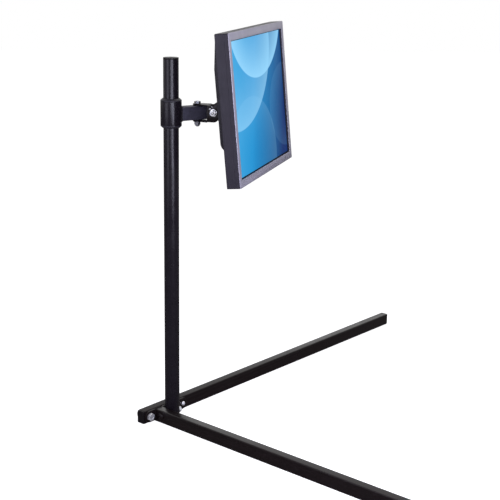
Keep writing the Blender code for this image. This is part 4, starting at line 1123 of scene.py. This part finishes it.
@dataclass
class FloorFrame(SubAssembly):
    """Two legs, the flange between them, their caps and the corner's fasteners."""
    width: float = 22 * MM
    height: float = 32 * MM
    wall: float = 1.5 * MM
    corner: float = 2.5 * MM
    reach: float = 944 * MM
    stub: float = 74 * MM
    cap: float = 4 * MM
    cap_inset: float = 0.4 * MM
    flange: float = 4 * MM
    far_face: float = 22.1 * MM
    near_face: float = 17.8 * MM
    bolt_height: float = 16.5 * MM
    bolt_place: float = -56.9 * MM
    screw_place: float = 55.5 * MM
    rivet_bore: float = 4.8 * MM
    rivet_depth: float = 4.5 * MM
    bolt_turn: float = -8.0
    bead: float = 1.3 * MM

    def build(self) -> None:
        """Make the floor frame's pieces."""
        self.legs()
        self.caps()
        self.weld()
        self.ease("corner_flange", BLACK_PAINT, 0.5 * MM, 3)
        self.bolts()

    def legs(self) -> None:
        """The two tubes, with their bolt holes."""
        tree = tube_tree()
        past, level = 3 * MM, self.height / 2
        back, front = -self.far_face - self.width - past, -self.far_face + past
        far_holes = [rod(radius, (start, place, self.bolt_height), (front, place, self.bolt_height))
                     for radius, start, place in ((M10.radius + CLEARANCE, back, self.bolt_place),
                                                  (self.rivet_bore, -self.far_face - self.rivet_depth,
                                                   self.screw_place))]
        near_holes = [rod(M8.radius + CLEARANCE, (0, -self.near_face - self.width - past, self.bolt_height),
                          (0, -self.near_face + past, self.bolt_height))]
        end = self.reach - self.cap - CLEARANCE
        far = shift(-self.far_face - self.width / 2, end, level) @ Z_TO_BACK
        near = shift(-self.near_face + CLEARANCE, -self.near_face - self.width / 2, level) @ spin(90) @ Z_TO_BACK
        for name, at, holes, length in (("far_leg", far, far_holes, end + self.stub - self.cap - CLEARANCE),
                                        ("near_leg", near, near_holes, end + self.near_face - CLEARANCE)):
            tools = joined(holes)
            tools.transform(at.inverted())
            holder = in_scene("holes", tools)
            mesh = tree.make(BLACK_PAINT, width=self.width, height=self.height, wall=self.wall,
                             corner=self.corner, length=length, holes=holder)
            drop(holder)
            self.add(name + "_tube", eased(mesh, 0.25 * MM, 2), BLACK_PAINT, name, at=at)

    def caps(self) -> None:
        """Moulded plugs in the legs' open ends: a pillowed face, a rounded rim and ribs on the plug."""
        far, near, level = -self.far_face - self.width / 2, -self.near_face - self.width / 2, self.height / 2
        for node, at in (("far_leg_cap", shift(far, self.reach, level) @ Z_TO_BACK),
                         ("stub_cap", shift(far, -self.stub, level) @ Z_TO_Y),
                         ("near_leg_cap", shift(self.reach, near, level) @ spin(-90) @ Z_TO_BACK)):
            self.add(node + "_plug", self.cap_mesh(), BLACK_PLASTIC, node, at=at)

    def cap_mesh(self) -> Mesh:
        """End cap whose face is at height 0 and whose plug points up.

        Returns:
            The closed mesh; both sections are how far in and how high each of its loops lies, in mm.
        """
        face = ((5.0, 0.25), (3.6, 0.15), (2.0, 0.0), (1.0, 0.1), (0.35, 0.45), (0.0, 1.2), (0.0, 3.6), (0.15, 4.0))
        plug = ((0.5, 4.02), (0.5, 5.0), (0.0, 5.4), (0.5, 6.4), (0.0, 6.8), (0.5, 7.8), (0.0, 8.2), (0.5, 9.4),
                (1.0, 11.0))
        loops = []
        for inset, section in ((self.cap_inset, face), (self.wall + CLEARANCE, plug)):
            for drawn, height in section:
                draw = inset + drawn * MM
                corner = max(self.corner - draw / 2, 0.4 * MM) if section is face else 1.2 * MM
                loops.append(rectangle(self.width - 2 * draw, self.height - 2 * draw, corner, height * MM))
        return loft(loops)

    def weld(self) -> None:
        """Weld bead between the near leg and the flange, on the three sides above the floor."""
        sides, foot = (-self.near_face - self.width, -self.near_face), 1.5 * MM
        low, high = sides
        section = rounded([(low, foot, 0), (low, self.height, self.corner), (high, self.height, self.corner),
                           (high, foot, 0)], False, 6)
        path = [Vector((-self.near_face + 0.2 * MM, y, z)) for y, z in section]
        self.add("leg_weld", bead(path, False, self.bead), BLACK_PAINT)

    def bolts(self) -> None:
        """Corner bolt, flange screw and pole bolt, with their nuts."""
        seat = -self.far_face + self.flange + 2 * CLEARANCE
        back = -self.far_face - self.width - CLEARANCE
        length = seat - back + M10.sheet + M10.nut + PAST_NUT
        at_ear = shift(seat, self.bolt_place, self.bolt_height) @ Z_TO_X @ spin(self.bolt_turn)
        self.bolt("corner_hex_bolt", "corner_bolt", M10, length, at_ear)
        at_back = shift(back, self.bolt_place, self.bolt_height) @ Z_TO_X.inverted()
        self.nut("corner_flange_nut", "corner_nut", M10, True, at_back)
        screw = self.trees.hex_screw.make(ZINC, head=5.5 * MM, height=4 * MM, radius=3 * MM, length=17.6 * MM,
                                          pitch=1 * MM, drive=2.3 * MM)
        self.add("flange_dome_screw", screw, ZINC, "flange_screw",
                 at=shift(seat, self.screw_place, self.bolt_height) @ Z_TO_X)
        seat = self.near_face + self.width + CLEARANCE
        reach = seat + self.near_face + M8.sheet + M8.nut + PAST_NUT
        screw = self.trees.hex_screw.make(BLACK_PAINT, head=8 * MM, height=3.5 * MM, radius=M8.radius, length=reach,
                                          pitch=M8.pitch, drive=2.9 * MM)
        self.add("pole_dome_bolt", screw, BLACK_PAINT, "pole_bolt", at=shift(0, -seat, self.bolt_height) @ Z_TO_BACK)
        self.nut("pole_flange_nut", "pole_nut", M8, True, shift(0, self.near_face, self.bolt_height) @ Z_TO_Y)


@dataclass
class Pole(SubAssembly):
    """Round pole with its cap and its foot plug."""
    radius: float = 17.5 * MM
    wall: float = 2 * MM
    top: float = 863 * MM
    end: float = 3.3 * MM
    flange: float = 3 * MM
    plug: float = 15 * MM
    foot_plug: float = 9 * MM
    bolt_height: float = 16.5 * MM
    dimple: float = 3.2 * MM
    dimple_depth: float = 0.5 * MM
    ribs: int = 3
    rib: float = 0.5 * MM
    rib_pitch: float = 3.5 * MM

    def build(self) -> None:
        """Make the pole's pieces."""
        inner, edge = self.radius - self.wall, 0.3 * MM
        low, high, past = self.end, self.top - self.end, self.radius + 3 * MM
        tube = turned([(self.radius, high, edge), (self.radius, low, edge), (inner, low, edge),
                       (inner, high, edge)], 128)
        hole = rod(M8.radius + CLEARANCE, (0, -past, self.bolt_height), (0, past, self.bolt_height))
        self.add("pole_tube", cut(tube, hole), POLE_COAT_PAINTED_BLUE_SHEEN, "pole")
        plug, seat = inner - CLEARANCE, self.top - self.flange
        floor, soft = self.top - self.dimple_depth, 0.2 * MM
        cap = [(0, floor, 0), (self.dimple, floor, soft), (self.dimple + 2 * soft, self.top, soft),
               (self.radius, self.top, 1.1 * MM), (self.radius, seat, soft), (plug, seat, 0)]
        for number in range(self.ribs):
            height = seat - self.rib_pitch * (number + 1)
            cap += [(plug - self.rib, height + 1.2 * MM, 0), (plug, height, 0.1 * MM),
                    (plug - self.rib, height - 0.6 * MM, 0)]
        cap += [(plug - 1 * MM, seat - self.plug, 0.5 * MM), (0, seat - self.plug, 0)]
        self.add("pole_end_cap", turned(cap), BLACK_PLASTIC, "pole_cap")
        foot = [(0, self.foot_plug, 0), (plug, self.foot_plug, 0.6 * MM), (plug, self.flange, 0),
                (self.radius, self.flange, soft), (self.radius, 0, 0.6 * MM), (0, 0, 0)]
        self.add("pole_foot_plug", turned(foot), BLACK_PLASTIC, "foot_plug")


@dataclass
class Bushes(SubAssembly):
    """Flanged nylon liners that show as chamfered rims at the collar's ends."""
    outer: float = 24 * MM
    spigot: float = 19.92 * MM
    bore: float = 17.58 * MM
    rim: float = 6.4 * MM
    straight: float = 2.4 * MM
    slope: float = 4.2 * MM
    depth: float = 20 * MM
    seats: Point = (712.7 * MM, 766.1 * MM)

    def build(self) -> None:
        """Make both bushes."""
        section = [(self.outer - self.slope, self.rim, 0.5 * MM), (self.outer, self.straight, 0.8 * MM),
                   (self.outer, 0, 0.15 * MM), (self.spigot, 0, 0), (self.spigot, -self.depth, 0.4 * MM),
                   (self.bore, -self.depth, 0.2 * MM), (self.bore, self.rim, 0.2 * MM)]
        low, high = self.seats
        for node, at in (("upper_bush", shift(z=high)), ("lower_bush", shift(z=low) @ FLIP)):
            self.add(node + "_liner", turned(section, 128), NYLON, node, at=at)


@dataclass
class Collar(SubAssembly):
    """Steel sleeve with its set screw and the short arm that is welded to it."""
    radius: float = 24 * MM
    bore: float = 20 * MM
    low: float = 713 * MM
    high: float = 765.8 * MM
    arm_width: float = 26 * MM
    arm_depth: float = 32 * MM
    arm_corner: float = 4 * MM
    screw_turn: float = 115.0
    screw_bore: float = 3.3 * MM
    bead: float = 1.5 * MM

    def build(self) -> None:
        """Make the collar's and the arm's pieces."""
        sleeve = turned([(self.radius, self.high, 0.5 * MM), (self.radius, self.low, 0.5 * MM),
                         (self.bore, self.low, 0.3 * MM), (self.bore, self.high, 0.3 * MM)], 128)
        way = spin(self.screw_turn) @ Vector((1, 0, 0))
        middle, past = Vector((0, 0, (self.low + self.high) / 2)), 3 * MM
        hole = rod(self.screw_bore, middle + way * (self.bore - past), middle + way * (self.radius + past), 32)
        self.add("collar_shell", cut(sleeve, hole), POLE_COAT_PAINTED_BLUE_SHEEN, "collar_sleeve")
        self.ease("set_screw", ZINC, 0.25 * MM)
        # The arm's lighter, bluish coat is painted sheen over the black paint
        self.ease("arm_tube", ARM_COAT_PAINTED_SHEEN, 0.5 * MM, 3)
        self.weld()

    def weld(self) -> None:
        """Weld bead round the arm, bent to the sleeve."""
        loop = rounded([(x * self.arm_width / 2, z * self.arm_depth / 2, self.arm_corner)
                        for x, z in ((1, 1), (-1, 1), (-1, -1), (1, -1))], True, 8)
        reach, steps, path = self.radius + 0.5 * MM, 6, []
        for first, second in zip(loop, loop[1:] + loop[:1]):
            for step in range(steps):
                y, z = Vector(first).lerp(Vector(second), step / steps)
                path.append(Vector((math.sqrt(reach ** 2 - y ** 2), y, ARM_HEIGHT + z)))
        self.add("arm_weld", bead(path, True, self.bead), BLACK_PAINT)


@dataclass
class SwivelHead(SubAssembly):
    """Folded bracket that turns on the arm's bolt, with the bolt, washers, glides and discs."""
    inner_reach: float = 17.5 * MM
    strap: float = 2.5 * MM
    glide: float = 1.2 * MM
    glide_radius: float = 10 * MM
    spacer_bore: float = 4.08 * MM
    spacer_radius: float = 6.08 * MM
    spacer_half: float = 12.3 * MM
    bolt_turn: float = 14.0

    def build(self) -> None:
        """Make the swivel head's pieces."""
        self.ease("swivel_bracket", BLACK_PAINT, 0.45 * MM, 3)
        seat = ARM_HEIGHT + self.inner_reach + self.strap + CLEARANCE
        washer_seat = ARM_HEIGHT - self.inner_reach - self.strap - CLEARANCE - M8.sheet
        nut_seat = washer_seat - CLEARANCE
        length = seat - nut_seat + M8.nut + PAST_NUT
        # The pivot hardware wears the darkened zinc, which is painted shade
        self.bolt("pivot_hex_bolt", "pivot_bolt", M8, length, shift(z=seat) @ spin(self.bolt_turn),
                  SHADED_ZINC)
        self.nut("pivot_lock_nut", "pivot_nut", M8, False, shift(z=nut_seat) @ FLIP, SHADED_ZINC)
        self.washer("lower_washer", M8, shift(z=washer_seat), SHADED_ZINC)
        inner, outer, edge = M8.radius + CLEARANCE, self.glide_radius, 0.3 * MM
        glide = [(inner, 0, 0), (outer, 0, edge), (outer, self.glide, edge), (inner, self.glide, 0)]
        gap = CLEARANCE / 2
        for name, height in (("lower_glide", ARM_HEIGHT - self.inner_reach + gap),
                             ("upper_glide", ARM_HEIGHT + self.inner_reach - gap - self.glide)):
            self.add(name + "_ring", turned(glide, 64), NYLON, name, at=shift(z=height))
        for name in ("near_friction_disc", "far_friction_disc"):
            self.ease(name, ZINC, 0.15 * MM, 2)
        bore, outer, half = self.spacer_bore, self.spacer_radius, self.spacer_half
        spacer = [(bore, half, 0.2 * MM), (outer, half, edge), (outer, -half, edge), (bore, -half, 0.2 * MM)]
        self.add("tilt_spacer_tube", turned(spacer, 64), SHEET_STEEL, "tilt_spacer",
                 at=shift(TILT_REACH, 0, TILT_HEIGHT) @ Z_TO_BACK)


@dataclass
class TiltHead(SubAssembly):
    """Yoke and plate that tilt with the monitor, and the tilt bolt."""
    ear_outer: float = 19.4 * MM
    plate_back: float = 48.7 * MM
    pitch: float = 100 * MM
    lift: float = 21.2 * MM
    bolt_turn: float = 20.0
    nut_turn: float = 11.0

    def build(self) -> None:
        """Make the tilt head's pieces."""
        self.ease("tilt_yoke", BLACK_PAINT, 0.45 * MM, 3)
        self.ease("vesa_plate", BLACK_PAINT, 0.4 * MM, 3)
        seat = self.ear_outer + 2 * CLEARANCE + M8.sheet
        length = 2 * seat + M8.nut + PAST_NUT
        self.bolt("tilt_hex_bolt", "tilt_bolt", M8, length, shift(y=seat) @ Z_TO_Y @ spin(self.bolt_turn))
        self.nut("tilt_lock_nut", "tilt_nut", M8, False, shift(y=-seat) @ Z_TO_BACK @ spin(self.nut_turn))
        for name, side in (("near_tilt_washer", Z_TO_BACK), ("far_tilt_washer", Z_TO_Y)):
            self.washer(name, M8, side @ shift(z=self.ear_outer + CLEARANCE))
        sides = (-self.pitch / 2, self.pitch / 2)
        for number, (y, z) in enumerate(((y, self.lift + z) for y in sides for z in sides), 1):
            screw = self.trees.cross_screw.make(ZINC, head=3.8 * MM, height=2.6 * MM, crown=0.62, radius=2 * MM,
                                                length=9.6 * MM, pitch=0.7 * MM, drive=1.8 * MM)
            self.add("plate_screw_%d" % number, screw, ZINC, "vesa_screw_%d" % number,
                     at=shift(self.plate_back - CLEARANCE, y, z) @ Z_TO_X.inverted())


@dataclass
class Monitor(SubAssembly):
    """Case, screen and controls of the monitor."""
    front: float = 112 * MM
    width: float = 394.5 * MM
    height: float = 325 * MM
    depth: float = 31.2 * MM
    full_depth: float = 60 * MM
    raised_width: float = 269 * MM
    lift: float = 21.2 * MM
    opening_width: float = 366 * MM
    opening_height: float = 291 * MM
    bezel_face: float = 5 * MM
    silver_depth: float = 2.2 * MM
    wall: float = 2.2 * MM
    panel: float = 3.5 * MM
    overlap: float = 4 * MM
    light_place: float = 145 * MM
    light_depth: float = 6.5 * MM
    screw_place: float = 60 * MM
    screw_edge: float = 3.2 * MM
    slab_round: float = 1.4 * MM
    flank_round: float = 1.8 * MM
    bezel_round: float = 1.1 * MM
    button_round: float = 0.35 * MM
    near: float = 0.2 * MM

    def build(self) -> None:
        """Make the monitor's visible pieces."""
        self.cover()
        self.bezel()
        self.screen()
        self.controls()
        self.screws()
        for node, finish in (("mains_inlet", BLACK_PLASTIC), ("video_sockets", SHEET_STEEL)):
            self.ease(node, finish, 0.2 * MM)

    def light_height(self) -> float:
        """Height of the status light, in the middle of the lower bezel."""
        return self.lift - (self.height + self.opening_height) / 4

    def cover(self) -> None:
        """Rear cover with soft outer edges and rows of air slots in its raised part and its top."""
        back, raised = self.front - self.depth, self.front - self.full_depth
        band, clear = 3.2 * MM, 2 * MM

        def rim(point: Vector) -> bool:
            """Whether a point lies on the edge round the slab's back."""
            return abs(point.x - back) < self.near and (abs(point.y) > self.width / 2 - band
                                                        or abs(point.z - self.lift) > self.height / 2 - band)

        def flank(point: Vector) -> bool:
            """Whether a point lies on a side of the raised part, clear of the slab."""
            return point.x < back - clear and abs(abs(point.y) - self.raised_width / 2) < self.near

        mesh = eased(copied("rear_cover", self.place), self.slab_round, 4, rim)
        mesh = eased(mesh, self.flank_round, 4, flank)
        tree, quarter, step = slot_tree(), math.pi / 2, (0, 5 * MM, 0)
        for row in (dict(count=35, width=2.2 * MM, length=34 * MM, depth=12 * MM, turn=(quarter, 0, quarter),
                         start=(raised + 4 * MM, -85 * MM, self.lift + 110 * MM)),
                    dict(count=56, width=1.8 * MM, length=9 * MM, depth=8 * MM, turn=(0, 0, quarter),
                         start=(back + 9 * MM, -137.5 * MM, self.lift + self.height / 2))):
            shell = in_scene("shell", mesh)
            mesh = tree.make(COVER_GREY, shell=shell, step=step, **row)
            drop(shell)
        self.add("cover_shell", mesh, COVER_GREY, "rear_cover")

    def bezel(self) -> None:
        """Front frame: a silver face with soft edges on a dark rim."""
        light, clear = Vector((self.light_place, self.light_height())), 4 * MM

        def face_edge(point: Vector) -> bool:
            """Whether a point lies on the front face's edges, away from the status light's hole."""
            return abs(point.x - self.front) < self.near and (point.yz - light).length >= clear

        mesh = eased(copied("front_bezel", self.place), self.bezel_round, 3, face_edge)
        mesh.materials.clear()
        for finish in (BEZEL_SILVER, COVER_GREY):
            mesh.materials.append(finish.material())
        for face in mesh.polygons:
            face.material_index = int(face.center.x < self.front - self.silver_depth)
        self.add("bezel_frame", mesh, BEZEL_SILVER, "front_bezel")

    def screen(self) -> None:
        """Panel whose front shows the picture, placed by its own UV map."""
        front, edge = self.front - self.bezel_face - CLEARANCE, 0.3 * MM
        back = front - self.panel
        width, height = self.opening_width + 2 * self.overlap, self.opening_height + 2 * self.overlap
        loops = []
        for depth, draw in ((back, edge), (back + edge, 0.0), (front - edge, 0.0), (front, edge)):
            loop = rectangle(width - 2 * draw, height - 2 * draw, 1 * MM, 0, 3)
            loops.append([Vector((depth, point.x, point.y + self.lift)) for point in loop])
        mesh = loft(loops)
        layer = mesh.uv_layers.new(name="picture")
        for corner, loop in zip(layer.data, mesh.loops):
            point = mesh.vertices[loop.vertex_index].co
            corner.uv = (point.y / self.opening_width + 0.5, (point.z - self.lift) / self.opening_height + 0.5)
        self.add("lit_panel", mesh, SCREEN, "screen_panel")

    def controls(self) -> None:
        """Status light and the push buttons under the lower edge, each on its own body."""
        radius = 1.5 * MM
        lens = turned([(0, 6.4 * MM, 0), (0.6 * MM, 6.45 * MM, 0), (radius, 6.1 * MM, 0.4 * MM),
                       (radius, 0, 0.1 * MM), (0, 0, 0)], 32)
        self.add("status_lens", lens, CLEAR, "status_light",
                 at=shift(self.front - self.light_depth, self.light_place, self.light_height()) @ Z_TO_X)
        for node in ("menu_button_1", "menu_button_2", "menu_button_3", "power_button"):
            body = next(name for name, members in frame["record"]["behaviour"]["bodies"].items() if node in members)
            button = self.add(node + "_cap", eased(copied(node, self.place), self.button_round, 3),
                              COVER_GREY, node)
            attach(button, body)

    def screws(self) -> None:
        """Screws that join cover and bezel."""
        height = self.lift - (self.height / 2 - self.wall - self.screw_edge - CLEARANCE)
        for number, side in enumerate((-self.screw_place, self.screw_place), 1):
            screw = self.trees.cross_screw.make(ZINC, head=2.8 * MM, height=2 * MM, crown=0.62, radius=1.5 * MM,
                                                length=23.3 * MM, pitch=0.5 * MM, drive=1.3 * MM)
            self.add("case_screw_%d" % number, screw, ZINC, "cover_screw_%d" % number,
                     at=shift(self.front - self.depth - CLEARANCE, side, height) @ Z_TO_X.inverted())


def dress_hidden_nodes() -> None:
    """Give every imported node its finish, by the record's slots."""
    slots = {row["node"]: row["material_slot"] for row in frame["record"]["subparts"]}
    for name, thing in frame["nodes"].items():
        material = FINISH_OF_SLOT[slots[name]].material()
        if not thing.data.materials:
            thing.data.materials.append(material)
        for slot in thing.material_slots:
            slot.material = material


# Studio

def aimed(at: Sequence[float], way: Vector) -> Matrix:
    """Frame of a camera or lamp at a place, looking one way."""
    return shift(*at) @ way.to_track_quat("-Z", "Y").to_matrix().to_4x4()


@dataclass(frozen=True)
class Lamp:
    """Rectangular soft lamp: its place, the point that it faces, its size, power in watts and tint."""
    name: str
    at: Colour
    towards: Colour
    size: Point
    power: float
    colour: Colour

    def build(self) -> None:
        """Put the lamp up."""
        data = bpy.data.lights.new(self.name, "AREA")
        data.shape = "RECTANGLE"
        data.size, data.size_y = self.size
        data.energy = self.power
        data.color = self.colour
        in_scene(self.name, data).matrix_world = aimed(self.at, Vector(self.towards) - Vector(self.at))


LAMPS = (Lamp("key_box", (0.56, -1.20, 0.80), (0.05, 0.0, 0.78), (0.5, 0.9), 15.0, (0.80, 0.81, 1.0)),
         Lamp("fill_box", (0.08, -1.35, 0.85), (0.05, 0.0, 0.76), (0.35, 0.6), 5.0, (0.80, 0.82, 1.0)),
         Lamp("left_box", (-1.30, -1.10, 0.90), (0.05, 0.0, 0.78), (0.9, 1.1), 8.0, (0.84, 0.84, 1.0)),
         Lamp("top_box", (0.6, 0.9, 2.7), (0.3, 0.0, 0.2), (1.8, 1.4), 14.0, (1.0, 0.96, 0.96)))


@dataclass
class Studio:
    """Camera, lamps, white surroundings and a pale floor."""
    eye: Colour = (-0.0172, -2.6203, 1.1315)
    look: Colour = (0.0732, 0.9624, -0.2617)
    roll: float = 0.807
    lens: float = 84.16
    ambient: float = 0.22
    floor_seen: float = 0.86
    floor_mirrored: float = 0.12
    floor_colour: Colour = (0.80, 0.80, 0.80)
    floor_half: float = 9.0
    floor_drop: float = 0.4 * MM
    mirrored_floor: Colour = (1.0, 0.95, 0.97)
    mirrored_front: float = 0.30
    white: tuple[float, ...] = (1.0, 1.0, 1.0, 1.0)

    def build(self) -> None:
        """Put the whole studio up."""
        bpy.context.scene.view_settings.view_transform = "Standard"
        self.camera()
        self.surroundings()
        self.floor()
        for lamp in LAMPS:
            lamp.build()

    def camera(self) -> None:
        """Camera of the photograph's view."""
        data = bpy.data.cameras.new("camera")
        data.lens = self.lens
        data.sensor_width = 36.0
        data.clip_start, data.clip_end = 0.01, 100.0
        camera = in_scene("camera", data)
        camera.matrix_world = aimed(self.eye, Vector(self.look)) @ spin(self.roll)
        bpy.context.scene.camera = camera

    def surroundings(self) -> None:
        """World: white where it is seen, greyer in mirrors towards the front, and dim as a source of light."""
        world = bpy.data.worlds.new("studio")
        world.use_nodes = True
        bpy.context.scene.world = world
        pad = NodePad(world.node_tree)
        seen, mirrored = pad.rays()
        away = pad.split(pad.out("TexCoord", socket="Generated"))[1]
        wall = pad.span(away, -0.35, 0.45, self.mirrored_front, 1.0)
        shown = pad.out("Mix", {"Factor": mirrored, "A": self.ambient, "B": wall})
        ground = pad.nodes["Background"]
        pad.feed(ground.inputs["Strength"], pad.out("Mix", {"Factor": seen, "A": shown, "B": 1.0}))
        pad.feed(ground.inputs["Color"], self.white)

    def floor(self) -> None:
        """White floor that keeps a faint shadow of the stand."""
        shape = bmesh.new()
        bmesh.ops.create_grid(shape, x_segments=8, y_segments=8, size=self.floor_half)
        mesh = to_mesh(shape, "floor")
        mesh.transform(shift(z=-self.floor_drop))
        sheet = ShaderSheet("studio_floor")
        sheet.shine(Base_Color=rgba(self.floor_colour), Roughness=0.9, Specular_IOR_Level=0.0)
        seen, mirrored = sheet.rays()
        grain = sheet.cloud(3.0, 2.0, 0.985)
        glow = sheet.out("Emission", {"Color": self.white, "Strength": seen * self.floor_seen * grain})
        both = sheet.out("AddShader", {0: Link(sheet, sheet.shader.outputs[0]), 1: glow})
        dim = sheet.out("Emission", {"Color": rgba(self.mirrored_floor), "Strength": self.floor_mirrored})
        whole = sheet.out("MixShader", {0: mirrored, 1: both, 2: dim})
        sheet.feed(sheet.nodes["Material Output"].inputs["Surface"], whole)
        mesh.materials.append(sheet.material)
        in_scene("floor", mesh)


def main() -> None:
    """Build the stand's sub-assemblies in order, and the studio round them."""
    logging.basicConfig(level=logging.INFO, format="%(message)s")
    dress_hidden_nodes()
    trees = Fasteners()
    for kind, body, place in ((FloorFrame, Body.STAND, CORNER), (Pole, Body.STAND, CORNER),
                              (Bushes, Body.BUSHES, ARM), (Collar, Body.COLLAR, ARM), (SwivelHead, Body.HEAD, SWIVEL),
                              (TiltHead, Body.MONITOR, TILT), (Monitor, Body.MONITOR, TILT)):
        part = kind(body, place, trees)
        part.build()
        LOG.info("%s: %d pieces", kind.__name__, part.made)
    Studio().build()


if __name__ == "__main__":
    main()
